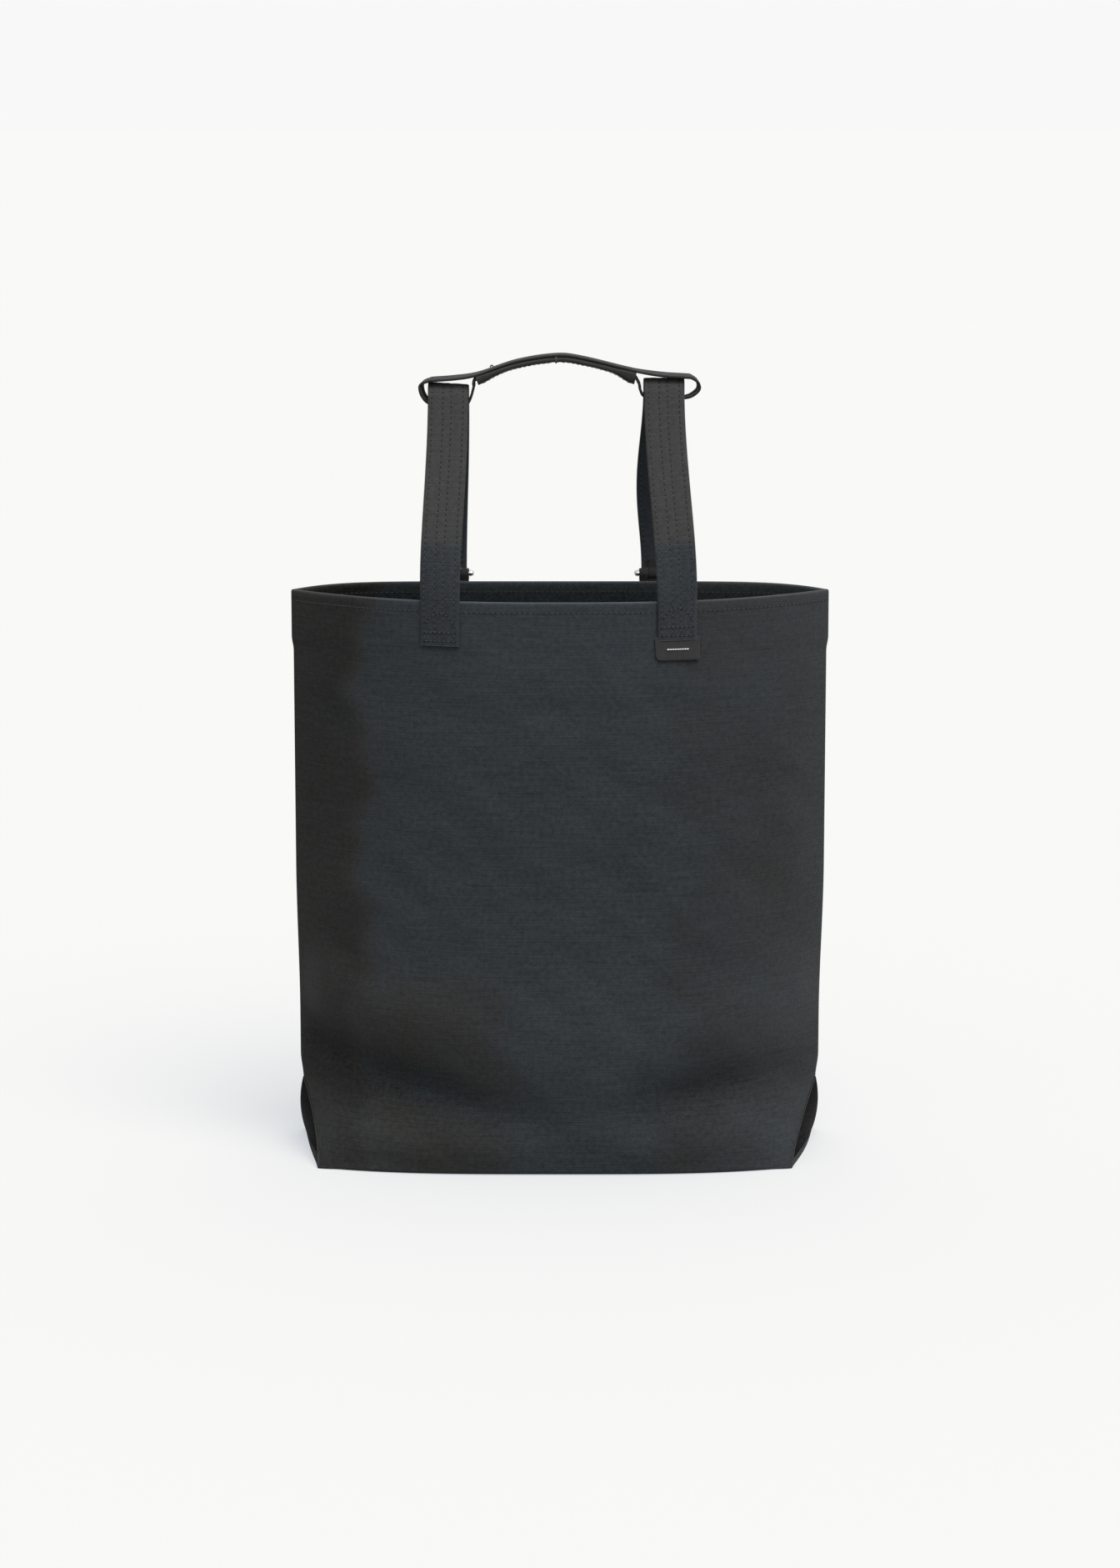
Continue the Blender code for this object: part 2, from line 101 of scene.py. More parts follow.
# Half widths of the body above the folded base, from the pinch up to the rim.
PINCH_WIDTH = {"left": 0.1984, "right": 0.1976}
LOW_WIDTH = {"left": 0.2004, "right": 0.1997}
MID_WIDTH = 0.2024
RIM_WIDTH = 0.2038
LOW_RISE = 0.020  # height over which the sides spread out again above the pinch
MID_START, MID_RISE = 0.105, 0.120
RIM_RISE = 0.010  # just under the hem
BASE_BULGE = {"left": 0.0012, "right": 0.0028}  # of the base's side edges

# --- small helpers ------------------------------------------------------------------------


def mix(a, b, share):
    return a + (b - a) * share


def smooth(share):
    share = np.clip(share, 0.0, 1.0)
    return share * share * (3 - 2 * share)


def unit(v):
    return v / np.maximum(np.linalg.norm(v, axis=-1, keepdims=True), 1e-12)


def along_of(points):
    """The length along a line of points, up to each of them."""
    steps = np.linalg.norm(np.diff(points, axis=0), axis=1)
    return np.concatenate([[0.0], np.cumsum(steps)])


def at_lengths(points, marks, at):
    return np.stack([np.interp(at, marks, points[:, k]) for k in range(points.shape[1])], axis=1)


def directions(line, closed=False):
    """Unit directions along a line of points."""
    if closed:
        return unit(np.roll(line, -1, axis=0) - np.roll(line, 1, axis=0))
    return unit(np.gradient(line, axis=0))


def xyz(x, y, z):
    """Points from three coordinates, each a number or an array."""
    return np.stack(np.broadcast_arrays(x, y, z), axis=-1).astype(float)


def circles(side, lift, sides):
    """A unit circle of so many sides for each pair of directions."""
    angles = np.arange(sides) * math.tau / sides
    return side[:, None] * np.cos(angles)[None, :, None] + lift[:, None] * np.sin(angles)[None, :, None]


def bezier(a, b, c, d, count):
    t = np.linspace(0, 1, count)[:, None]
    a, b, c, d = (np.array(p, float) for p in (a, b, c, d))
    return (1 - t) ** 3 * a + 3 * (1 - t) ** 2 * t * b + 3 * (1 - t) * t**2 * c + t**3 * d


class Builder:
    """Gathers vertices, faces and point attributes, then makes one mesh object."""

    def __init__(self):
        self.points, self.faces, self.slots = [], [], []
        self.cloth, self.tone, self.dye = [], [], []
        self.count = 0

    def add(self, points, faces, cloth=None, tone=None, slot=0, dye=None):
        points = np.asarray(points, float).reshape(-1, 3)
        self.points.append(points)
        self.faces += [tuple(int(i) + self.count for i in f) for f in faces]
        self.slots += [slot] * len(faces)
        self.cloth.append(points if cloth is None else np.asarray(cloth, float).reshape(-1, 3))
        for values, given in ((self.tone, tone), (self.dye, dye)):
            values.append(np.zeros(len(points)) if given is None else np.asarray(given, float).ravel())
        self.count += len(points)

    def make(self, name, *materials, bend=None, flat=False):
        points = np.concatenate(self.points)
        if bend is not None:
            points = bend(points)
        mesh = bpy.data.meshes.new(name)
        mesh.from_pydata(points.tolist(), [], self.faces)
        cloth = mesh.attributes.new("cloth", "FLOAT_VECTOR", "POINT")
        cloth.data.foreach_set("vector", np.concatenate(self.cloth).astype(np.float32).ravel())
        for label, values in (("tone", self.tone), ("dye", self.dye)):
            layer = mesh.attributes.new(label, "FLOAT", "POINT")
            layer.data.foreach_set("value", np.concatenate(values).astype(np.float32))
        for material in materials:
            mesh.materials.append(material)
        mesh.polygons.foreach_set("material_index", self.slots)
        if not flat:
            mesh.polygons.foreach_set("use_smooth", [True] * len(mesh.polygons))
        mesh.update()
        made = bpy.data.objects.new(name, mesh)
        bpy.context.scene.collection.objects.link(made)
        return made


def grid_quads(rows, columns, start=0, around=False, flip=False, ring=False):
    """Quads of a grid of points; around joins the last column to the first, ring the rows."""
    quads = []
    for i in range(rows if ring else rows - 1):
        for j in range(columns if around else columns - 1):
            a, b = start + i * columns, start + (i + 1) % rows * columns
            k = (j + 1) % columns
            quad = (a + j, b + j, b + k, a + k)
            quads.append(quad[::-1] if flip else quad)
    return quads


def grid_normals(grid):
    """Unit normals of a grid of points, by rows then columns."""
    down = np.gradient(grid, axis=0)
    over = np.gradient(grid, axis=1)
    return unit(np.cross(down, over))


def add_shell(builder, outer, inner, cloth, tone=None, slot=0, dye=None):
    """A closed thin solid between two grids of points."""
    rows, columns = outer.shape[:2]
    size = rows * columns
    faces = grid_quads(rows, columns) + grid_quads(rows, columns, size, flip=True)
    last_row, last = (rows - 1) * columns, columns - 1
    edges = [(i * columns, (i + 1) * columns, False) for i in range(rows - 1)]
    edges += [(i * columns + last, (i + 1) * columns + last, True) for i in range(rows - 1)]
    edges += [(j, j + 1, True) for j in range(last)]
    edges += [(last_row + j, last_row + j + 1, False) for j in range(last)]
    for a, b, turned in edges:
        quad = (a, a + size, b + size, b)
        faces.append(quad[::-1] if turned else quad)
    other = cloth + np.array([0.0, 0.0, 0.5])
    tones = np.zeros((rows, columns)) if tone is None else tone
    dyes = np.zeros((rows, columns)) if dye is None else dye
    builder.add(
        np.concatenate([outer.reshape(-1, 3), inner.reshape(-1, 3)]),
        faces,
        np.concatenate([cloth.reshape(-1, 3), other.reshape(-1, 3)]),
        np.tile(tones.ravel(), 2),
        slot,
        np.tile(dyes.ravel(), 2),
    )


def add_tube(builder, line, radius, sides=8, closed=False, tone=0.0, slot=0):
    """A round tube along a line of points, with flat ends unless it is closed."""
    count = len(line)
    along = directions(line, closed)
    radii = np.broadcast_to(np.asarray(radius, float), (count,))
    guide = np.array([0.0, 0.0, 1.0]) if abs(along[0][2]) < 0.9 else np.array([1.0, 0.0, 0.0])
    side = unit(np.cross(along[0], guide))
    sides_of = []
    for k in range(count):
        side = unit(side - along[k] * (side @ along[k]))
        sides_of.append(side)
    side = np.array(sides_of)
    hoops = line[:, None] + radii[:, None, None] * circles(side, np.cross(along, side), sides)
    faces = grid_quads(count, sides, around=True, ring=closed, flip=True)
    if not closed:
        faces.append(tuple(range(sides)))
        faces.append(tuple(range((count - 1) * sides, count * sides))[::-1])
    cloth = np.zeros((count, sides, 3))
    cloth[:, :, 0] = np.arange(sides)[None] * math.tau / sides * float(radii.max())
    cloth[:, :, 1] = along_of(line)[:, None]
    builder.add(hoops, faces, cloth, np.full(count * sides, tone), slot)


def resample(points, normals, pitch):
    """Points a stitch apart along a line, with their normals."""
    marks = along_of(points)
    count = max(2, int(round(marks[-1] / pitch)) + 1)
    at = np.linspace(0, marks[-1], count)
    return at_lengths(points, marks, at), unit(at_lengths(normals, marks, at))


THREAD_SIDES, HOLE_SIDES = 6, 8


def add_stitches(builder, points, normals, radius=0.00028, gap=0.0013, lift=0.00022, hole=0.00066):
    """Short threads between needle holes. Slot 0 is the thread and slot 1 the painted shade in the holes.
    """
    a, b = points[:-1], points[1:]
    way = unit(b - a)
    normal = unit(normals[:-1] + normals[1:])
    side = np.cross(normal, way)
    start, end = a + way * gap / 2, b - way * gap / 2
    shares = [0.0, 0.18, 0.5, 0.82, 1.0]
    widths = [0.35, 0.9, 1.0, 0.9, 0.35]
    rises = [-0.8, 0.35, 1.0, 0.35, -0.8]
    hoop = circles(side, normal * 0.8, THREAD_SIDES)
    rings = []
    for share, width, rise in zip(shares, widths, rises):
        centre = mix(start, end, share) + normal * lift * rise
        rings.append(centre[:, None] + radius * width * hoop)
    block = np.stack(rings, axis=1)
    per = len(shares) * THREAD_SIDES
    faces = []
    one = grid_quads(len(shares), THREAD_SIDES, around=True)
    one.append(tuple(range(THREAD_SIDES)))
    one.append(tuple(range(per - THREAD_SIDES, per))[::-1])
    for k in range(len(a)):
        faces += [tuple(i + k * per for i in f) for f in one]
    builder.add(block, faces)
    if hole:
        add_hole_shade(builder, points, normals, way, hole)


def add_hole_shade(builder, points, normals, way, radius):
    """Flat dark lenses at the needle holes: painted shade standing in for the shadow inside each hole."""
    way = np.concatenate([way, way[-1:]])
    side = unit(np.cross(normals, way))
    way = np.cross(side, normals)
    rim = points[:, None] + radius * circles(side, way, HOLE_SIDES)
    top = (points + normals * 0.00006)[:, None]
    low = (points - normals * 0.00030)[:, None]
    block = np.concatenate([rim, top, low], axis=1)
    faces = []
    for k in range(len(points)):
        o = k * (HOLE_SIDES + 2)
        for j in range(HOLE_SIDES):
            n = (j + 1) % HOLE_SIDES
            faces.append((o + j, o + n, o + HOLE_SIDES))
            faces.append((o + n, o + j, o + HOLE_SIDES + 1))
    builder.add(block, faces, slot=1)


# --- materials ----------------------------------------------------------------------------


class Nodes:
    """Short calls that add and link shader nodes."""

    def __init__(self, owner, shader="Principled BSDF"):
        owner.use_nodes = True
        self.owner = owner
        self.tree = owner.node_tree
        self.shader = self.tree.nodes[shader]

    def put(self, socket, value):
        if isinstance(value, bpy.types.NodeSocket):
            self.tree.links.new(value, socket)
        else:
            socket.default_value = value

    def math(self, operation, a, b=None):
        node = self.tree.nodes.new("ShaderNodeMath")
        node.operation = operation
        self.put(node.inputs[0], a)
        if b is not None:
            self.put(node.inputs[1], b)
        return node.outputs[0]

    def times(self, a, b):
        return self.math("MULTIPLY", a, b)

    def plus(self, a, b):
        return self.math("ADD", a, b)

    def attribute(self, name):
        node = self.tree.nodes.new("ShaderNodeAttribute")
        node.attribute_name = name
        return node

    def split(self, vector):
        node = self.tree.nodes.new("ShaderNodeSeparateXYZ")
        self.tree.links.new(vector, node.inputs[0])
        return node.outputs

    def stretched(self, vector, scale):
        node = self.tree.nodes.new("ShaderNodeMapping")
        node.inputs["Scale"].default_value = scale
        self.tree.links.new(vector, node.inputs["Vector"])
        return node.outputs[0]

    def noise(self, vector, scale, detail=2.0, roughness=0.5):
        node = self.tree.nodes.new("ShaderNodeTexNoise")
        node.inputs["Scale"].default_value = scale
        node.inputs["Detail"].default_value = detail
        node.inputs["Roughness"].default_value = roughness
        self.tree.links.new(vector, node.inputs["Vector"])
        return node.outputs[0]

    def blend(self, factor, a, b):
        node = self.tree.nodes.new("ShaderNodeMix")
        node.data_type = "RGBA"
        node.clamp_factor = True
        self.put(node.inputs[0], factor)
        for socket, colour in ((node.inputs[6], a), (node.inputs[7], b)):
            self.put(socket, (*colour, 1.0) if isinstance(colour, tuple) else colour)
        return node.outputs[2]

    def scaled(self, colour, factor):
        node = self.tree.nodes.new("ShaderNodeVectorMath")
        node.operation = "SCALE"
        self.tree.links.new(colour, node.inputs[0])
        self.put(node.inputs["Scale"], factor)
        return node.outputs[0]

    def bump(self, height, strength, distance):
        node = self.tree.nodes.new("ShaderNodeBump")
        node.inputs["Strength"].default_value = strength
        node.inputs["Distance"].default_value = distance
        self.tree.links.new(height, node.inputs["Height"])
        self.tree.links.new(node.outputs[0], self.shader.inputs["Normal"])

    def remap(self, value, low, high, to_low, to_high):
        node = self.tree.nodes.new("ShaderNodeMapRange")
        for k, x in enumerate((value, low, high, to_low, to_high)):
            self.put(node.inputs[k], x)
        return node.outputs[0]


def weave(
    name, cool, neutral, pitch, rib, depth, contrast=0.5, sheen=0.10, roughness=0.9, blotches=0.5,
    own_coordinates=True,
):
    """Woven cloth: staggered dots in horizontal ribs, with uneven dye and fine fibres.

    The point attribute tone makes it paler or darker and carries painted highlights and painted shade; dye
    turns it from neutral to cool.
    """
    n = Nodes(bpy.data.materials.new(name))
    fine = 1.5 * contrast
    if own_coordinates:
        place = n.attribute("cloth").outputs["Vector"]
    else:
        place = n.tree.nodes.new("ShaderNodeTexCoord").outputs["Object"]
    tone = n.attribute("tone").outputs["Fac"]
    dye = n.attribute("dye").outputs["Fac"]
    across, up, face = n.split(place)
    if not own_coordinates:
        up = face
    wander = n.times(n.plus(n.noise(place, 45.0, 1.0), -0.5), 0.0012)
    u = n.times(n.plus(across, wander), math.pi / pitch[0])
    v = n.times(n.plus(up, wander), math.pi / pitch[1])
    dots = n.times(n.math("COSINE", u), n.math("COSINE", v))
    ribs = n.plus(n.math("ABSOLUTE", n.math("COSINE", v)), -0.6)
    slubs = n.plus(n.noise(n.stretched(place, (25.0, 700.0, 700.0)), 1.0, 1.0), -0.5)
    fibres = n.plus(n.noise(place, 1300.0, 2.0, 0.6), -0.5)
    uneven = n.plus(n.noise(place, 260.0, 2.0, 0.6), -0.5)
    height = n.plus(n.times(dots, 0.5 * (1 - rib)), n.times(ribs, rib))
    height = n.plus(height, n.plus(n.times(fibres, 0.8), n.times(slubs, 0.5)))
    n.bump(height, 1.0, depth)
    value = n.plus(n.times(dots, 0.34 * contrast * (1 - rib)), n.times(ribs, 0.70 * contrast * rib))
    value = n.plus(value, n.times(fibres, 1.5 * fine))
    value = n.plus(value, n.plus(n.times(slubs, 0.5 * fine), n.times(uneven, 0.9 * fine)))
    patches = n.plus(n.noise(place, 8.0, 3.0, 0.55), -0.5)
    value = n.plus(n.plus(value, n.times(patches, 0.45 * blotches)), n.plus(tone, 1.0))
    hue = n.times(n.plus(n.noise(place, 14.0, 4.0, 0.6), -0.5), 3.0 * blotches)
    worn = n.blend(n.plus(dye, hue), neutral, cool)
    n.tree.links.new(n.scaled(worn, n.math("MAXIMUM", value, 0.15)), n.shader.inputs["Base Color"])
    rough = n.remap(fibres, -0.2, 0.2, roughness - 0.06, roughness + 0.06)
    n.tree.links.new(rough, n.shader.inputs["Roughness"])
    n.shader.inputs["Sheen Roughness"].default_value = 0.45
    # Where the tone paints shade, the sheen and the specular are cut as well, so the painted shade stays
    # dark.
    bloom = n.math("MINIMUM", n.math("MAXIMUM", n.plus(tone, 1.0), 0.0), 1.0)
    bloom = n.times(bloom, bloom)
    n.tree.links.new(n.times(bloom, sheen), n.shader.inputs["Sheen Weight"])
    n.tree.links.new(n.times(bloom, 0.20), n.shader.inputs["Specular IOR Level"])
    return n.owner


canvas = weave(
    "canvas", (0.0225, 0.0275, 0.0318), (0.0195, 0.0195, 0.0187), (0.00080, 0.00150), 0.25, 0.00024,
    contrast=0.85,
)
webbing = weave(
    "webbing", (0.0235, 0.0285, 0.0328), (0.0250, 0.0248, 0.0245), (0.0009, 0.0015), 0.35, 0.00032,
    contrast=0.80, blotches=0.2,
)
binding = weave(
    "binding", (0.0120, 0.0125, 0.0130), (0.0120, 0.0118, 0.0115), (0.0007, 0.0007), 0.6, 0.00020,
    own_coordinates=False, blotches=0.2,
)
label_weave = weave(
    "label_weave", (0.0230, 0.0235, 0.0265), (0.0230, 0.0225, 0.0240), (0.00045, 0.00035), 0.7,
    0.00010, contrast=0.4, sheen=0.20, roughness=0.72, blotches=0.1,
)


def plain(name, colour, roughness, bump_scale, depth, metallic=0.0, vary=0.25):
    """A material for threads, painted hole shade and metal, with fine variation in colour and roughness."""
    n = Nodes(bpy.data.materials.new(name))
    place = n.attribute("cloth").outputs["Vector"]
    if metallic:
        place = n.tree.nodes.new("ShaderNodeTexCoord").outputs["Object"]
    fine = n.noise(place, bump_scale, 3.0, 0.6)
    low = tuple(c * (1 - vary) for c in colour)
    high = tuple(min(1.0, c * (1 + vary)) for c in colour)
    n.tree.links.new(n.blend(fine, low, high), n.shader.inputs["Base Color"])
    rough = n.remap(fine, 0.3, 0.7, roughness * 0.85, min(1.0, roughness * 1.15))
    n.tree.links.new(rough, n.shader.inputs["Roughness"])
    n.shader.inputs["Metallic"].default_value = metallic
    n.bump(fine, 0.6, depth)
    return n.owner


thread = plain("thread", (0.027, 0.031, 0.034), 0.75, 2600.0, 0.00008)
strap_thread = plain("strap_thread", (0.030, 0.033, 0.036), 0.75, 2600.0, 0.00008)
# Painted shade: near black for the dark lenses in the needle holes.
needle_hole_shade = plain("needle_hole_shade", (0.0015, 0.0015, 0.002), 0.95, 2600.0, 0.00004)
stripe_yarn = plain("stripe_yarn", (0.72, 0.72, 0.70), 0.80, 2600.0, 0.00006, vary=0.1)
steel = plain("steel", (0.66, 0.66, 0.65), 0.20, 900.0, 0.00002, metallic=1.0, vary=0.08)


# --- canvas body --------------------------------------------------------------------------


def ridge(x, z, centre, slope, length, height, amount):
    """A soft long dent or bulge, standing out by amount, along a line of the given slope."""
    tilt = math.atan(slope)
    dx, dz = x - centre[0], z - centre[1]
    along = dx * math.cos(tilt) + dz * math.sin(tilt)
    over = -dx * math.sin(tilt) + dz * math.cos(tilt)
    return amount * np.exp(-((along / length) ** 2 + (over / height) ** 2) / 2)


FRONT_RELIEF = [
    ((-0.130, 0.122), -0.20, 0.070, 0.020, 0.0070),
    ((-0.125, 0.068), -0.27, 0.062, 0.014, -0.0112),
    ((-0.150, 0.026), -0.05, 0.050, 0.012, 0.0060),
    ((0.128, 0.112), 0.14, 0.050, 0.018, 0.0056),
    ((0.118, 0.064), 0.20, 0.044, 0.012, -0.0088),
    ((0.140, 0.026), 0.04, 0.044, 0.012, 0.0042),
    ((0.012, 0.086), 0.00, 0.042, 0.044, 0.0046),
    ((0.058, 0.070), 4.00, 0.022, 0.006, -0.0018),
    ((-0.020, 0.026), 0.02, 0.060, 0.010, 0.0012),
    ((-0.175, 0.330), 9.00, 0.060, 0.012, -0.0018),
    ((-0.155, 0.240), 5.00, 0.050, 0.014, 0.0012),
    ((0.155, 0.250), -6.00, 0.060, 0.013, -0.0014),
    ((0.020, 0.352), 0.02, 0.075, 0.006, -0.0006),
    ((-0.020, 0.205), 0.04, 0.080, 0.008, -0.0005),
    ((0.060, 0.180), 1.20, 0.040, 0.009, 0.0008),
    ((-0.060, 0.150), -0.70, 0.050, 0.010, 0.0007),
]
BACK_RELIEF = [
    ((0.120, 0.120), -0.22, 0.060, 0.020, 0.0035),
    ((0.115, 0.066), -0.26, 0.056, 0.014, -0.0040),
    ((-0.120, 0.105), 0.20, 0.055, 0.020, 0.0030),
    ((-0.110, 0.060), 0.22, 0.050, 0.013, -0.0038),
    ((0.0, 0.025), 0.00, 0.110, 0.012, 0.0020),
    ((-0.060, 0.300), 1.60, 0.060, 0.014, 0.0012),
    ((0.080, 0.260), -2.20, 0.070, 0.013, -0.0013),
    ((0.000, 0.200), 0.10, 0.090, 0.010, 0.0008),
]


def relief(panel, x, z):
    """How far the slack cloth stands out from the smooth panel, in metres."""
    total = np.zeros(np.broadcast(x, z).shape)
    for centre, slope, length, height, amount in FRONT_RELIEF if panel is FRONT else BACK_RELIEF:
        total = total + ridge(x, z, centre, slope, length, height, amount)
    phases = np.random.RandomState(7 if panel is FRONT else 19)
    for size, amount in ((0.110, 0.00022), (0.062, 0.00020), (0.034, 0.00014), (0.019, 0.00008)):
        for _ in range(3):
            turn, shift = phases.uniform(0, math.pi), phases.uniform(0, math.tau)
            total = total + amount * np.sin(
                (x * math.cos(turn) + z * math.sin(turn)) * math.tau / size + shift
            )
    calm = smooth((RIM - z) / 0.055) * smooth(z / 0.014)
    return total * calm


def opened(z):
    """How far the folded base is open: 1 at the floor and 0 from the pinch up."""
    return np.clip(1 - z / PINCH, 0.0, 1.0)


def hand_width(panel, z, hand):
    """Half width of the body on one hand: the panel's own free edge below the pinch."""
    share = np.clip(z / PINCH, 0.0, 1.0)
    free = mix(panel["corner"][hand], PINCH_WIDTH[hand], share ** panel["side_power"][hand])
    free = free + panel["side_bow"] * 4 * share * (1 - share)
    sewn = mix(PINCH_WIDTH[hand], LOW_WIDTH[hand], smooth((z - PINCH) / LOW_RISE))
    sewn = sewn + (MID_WIDTH - LOW_WIDTH[hand]) * smooth((z - MID_START) / MID_RISE)
    sewn = sewn + (RIM_WIDTH - MID_WIDTH) * smooth((z - RIM + HEM + RIM_RISE) / RIM_RISE)
    return np.where(z >= PINCH, sewn, free)


def half_width(panel, z, side):
    """Half width of a panel at a height, on the left where side is negative."""
    z = np.asarray(z, float)
    return np.where(side < 0, hand_width(panel, z, "left"), hand_width(panel, z, "right"))


def panel_xy(panel, u, z):
    """x and y of a panel's outer surface, u running from -1 at the left to 1 at the right."""
    share = smooth(z / RIM)
    bulge = mix(panel["base_bulge"], panel["rim_bulge"], share)
    power = mix(panel["base_power"], panel["rim_power"], share)
    edge = np.maximum(SEAM_GAP, panel["corner_depth"] * opened(z))
    depth = edge + (bulge - edge) * (1 - np.abs(u) ** power)
    x = u * half_width(panel, z, u)
    side_calm = smooth((1 - np.abs(u)) / 0.10)
    depth = depth + relief(panel, x, z) * side_calm
    depth = depth + 0.0003 * smooth((z - RIM + HEM) / 0.004) * side_calm
    return x, SEAM_Y + panel["side"] * depth


def panel_point(panel, u, z, inset=0.0):
    """Points of a panel, moved into the bag by inset along the level normal."""
    u, z, inset = np.broadcast_arrays(np.asarray(u, float), z, inset)
    step = 0.003
    x, y = panel_xy(panel, u, z)
    x_low, y_low = panel_xy(panel, np.clip(u - step, -1, 1), z)
    x_high, y_high = panel_xy(panel, np.clip(u + step, -1, 1), z)
    dx, dy = x_high - x_low, y_high - y_low
    size = np.hypot(dx, dy)
    inx, iny = dy / size * panel["side"], -dx / size * panel["side"]
    x, y = x + inx * inset, y + iny * inset
    nearest = SEAM_Y + panel["side"] * SEAM_GAP
    y = np.where(panel["side"] * (y - nearest) < 0, nearest, y)
    return np.stack([x, y, z], axis=-1), np.stack([-inx, -iny, 0 * inx], axis=-1)


def edge_dense(count):
    """Shares of a panel's width from -1 to 1, closer together at its edges."""
    t = np.linspace(-1, 1, count)
    return mix(t, np.sin(math.pi / 2 * t), 0.75)


def panel_path(heights=125):
    """Height and inset of one panel's rows, from the hem's lower edge over the rim to the floor."""
    rows = [(RIM - HEM + 0.0010, 2 * HEM_FOLD + 0.0006)]
    for z in np.linspace(RIM - HEM, RIM - HEM_FOLD, 12)[:-1]:
        rows.append((z, 2 * HEM_FOLD))
    for angle in np.linspace(math.pi, 0, 9):
        rows.append((RIM - HEM_FOLD + HEM_FOLD * math.sin(angle), HEM_FOLD * (1 - math.cos(angle))))
    for z in np.linspace(RIM - HEM_FOLD, BASE_FOLD, heights)[1:]:
        rows.append((z, 0.0))
    for angle in np.linspace(0, math.pi / 2, 6)[1:]:
        rows.append((BASE_FOLD * (1 - math.sin(angle)), BASE_FOLD * (1 - math.cos(angle))))
    return rows


COLUMNS = 131
BASE_ROWS = 26
FACING_ROWS = 18  # of each hem inside the bag, shaded towards its lower edge
us = edge_dense(COLUMNS)


def fold_share(u):
    """The fold at the base gets tighter towards the corners."""
    return 1 - 0.85 * smooth((np.abs(u) - 0.90) / 0.10)


def panel_grid(panel):
    rows = []
    for z, inset in panel_path():
        flat_z = min(z, RIM)
        if z < BASE_FOLD:
            inset = inset * fold_share(us)
        points, _ = panel_point(panel, us, np.full(COLUMNS, flat_z), inset)
        points[:, 2] = z + LIFT
        rows.append(points)
    return np.array(rows)


def base_lift(x, y):
    """The floor of the bag stands a little clear between its edges."""
    return 0.0007 * (1 + np.sin(x * 31 + 0.6) * np.cos(y * 47 + 1.1)) / 2


front_grid = panel_grid(FRONT)
back_grid = panel_grid(BACK)[::-1]
base = []
for share in np.linspace(0, 1, BASE_ROWS)[1:-1]:
    row = mix(front_grid[-1], back_grid[0], share)
    bulge = np.where(us < 0, -BASE_BULGE["left"], BASE_BULGE["right"])
    row[:, 0] += bulge * np.abs(us) ** 12 * math.sin(math.pi * share)
    hush = math.sin(math.pi * share) ** 0.5
    row[:, 2] = LIFT + base_lift(row[:, 0], row[:, 1]) * hush
    base.append(row)
body_grid = np.concatenate([front_grid, np.array(base), back_grid])
body_normals = grid_normals(body_grid)
body_inner = body_grid - body_normals * CANVAS
body_cloth = np.zeros_like(body_grid)
step_over = np.linalg.norm(np.diff(body_grid, axis=1), axis=2)
reach = np.concatenate([np.zeros((len(body_grid), 1)), np.cumsum(step_over, axis=1)], axis=1)
middle = reach[:, COLUMNS // 2][:, None]
body_cloth[:, :, 0] = reach - middle
body_cloth[:, :, 1] = along_of(body_grid[:, COLUMNS // 2])[:, None]

# Painted highlights along the folded rim and base edges; painted shade down the left side, in the front's
# dents and on the hem facings; darker towards the bottom, paler high up; neutral instead of cool near the
# left side and base.
z_of, x_of = body_grid[:, :, 2], body_grid[:, :, 0]
wavy = 0.006 * np.sin(z_of * 47.0) + 0.004 * np.sin(z_of * 131.0 + 1.0)
# Painted highlight along the folded rim.
body_tone = 0.85 * np.exp(-(((z_of - RIM) / 0.0011) ** 2))
# Painted highlight along the base edge.
body_tone += 0.15 * np.exp(-((z_of / 0.003) ** 2))
# Painted shade down the left side, where the panel turns away from the key light.
body_tone -= 0.16 * smooth((-x_of - 0.146 + wavy) / 0.016)
body_tone -= 0.05 * smooth((0.150 - z_of) / 0.12)
front_rows = len(front_grid)
# Painted shade in the front's dents and painted light on its bulges, following the relief.
creases = relief(FRONT, x_of[:front_rows], z_of[:front_rows])
body_tone[:front_rows] += np.clip(18.0 * creases, -0.20, 0.08)
body_tone += 0.16 * smooth((z_of - 0.300) / 0.100) * smooth((x_of + 0.140) / 0.060)
facing = np.zeros(len(body_grid))
facing[:FACING_ROWS] = smooth(np.linspace(1.6, 0.0, FACING_ROWS))
facing[-FACING_ROWS:] = facing[:FACING_ROWS][::-1]
# Painted shade on the hem facings inside the bag, darkest towards their lower edges.
body_tone -= 0.55 * facing[:, None]
low_left = smooth((0.170 - z_of) / 0.050) * smooth((-0.020 - x_of) / 0.040)
low_left *= 1 - 0.7 * np.exp(-(((z_of - 0.070 + 0.27 * (x_of + 0.125)) / 0.013) ** 2))
body_dye = smooth((x_of + 0.152 - wavy) / 0.014) * (1 - 0.9 * low_left)
body_dye *= 1 - 0.50 * smooth((x_of - 0.070 + 2 * wavy) / 0.030)

body = Builder()
add_shell(body, body_grid, body_inner, body_cloth, body_tone, dye=body_dye)
body = body.make("canvas_body", canvas)
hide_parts("front_panel", "back_panel", "base_panel", "front_hem", "back_hem")
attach(body, "bag")

# --- folded base ends ---------------------------------------------------------------------

HOLLOW = 0.020  # how deep the turned-up base ends sink between their edges


def end_edge(panel, side, z):
    """The edge of a panel that a turned-up base end meets."""
    inset = np.where(z < BASE_FOLD, BASE_FOLD - np.sqrt(np.maximum(0, 2 * BASE_FOLD * z - z * z)), 0)
    u = np.full(z.shape, float(side))
    points, _ = panel_point(panel, u, z, inset * fold_share(u))
    return points


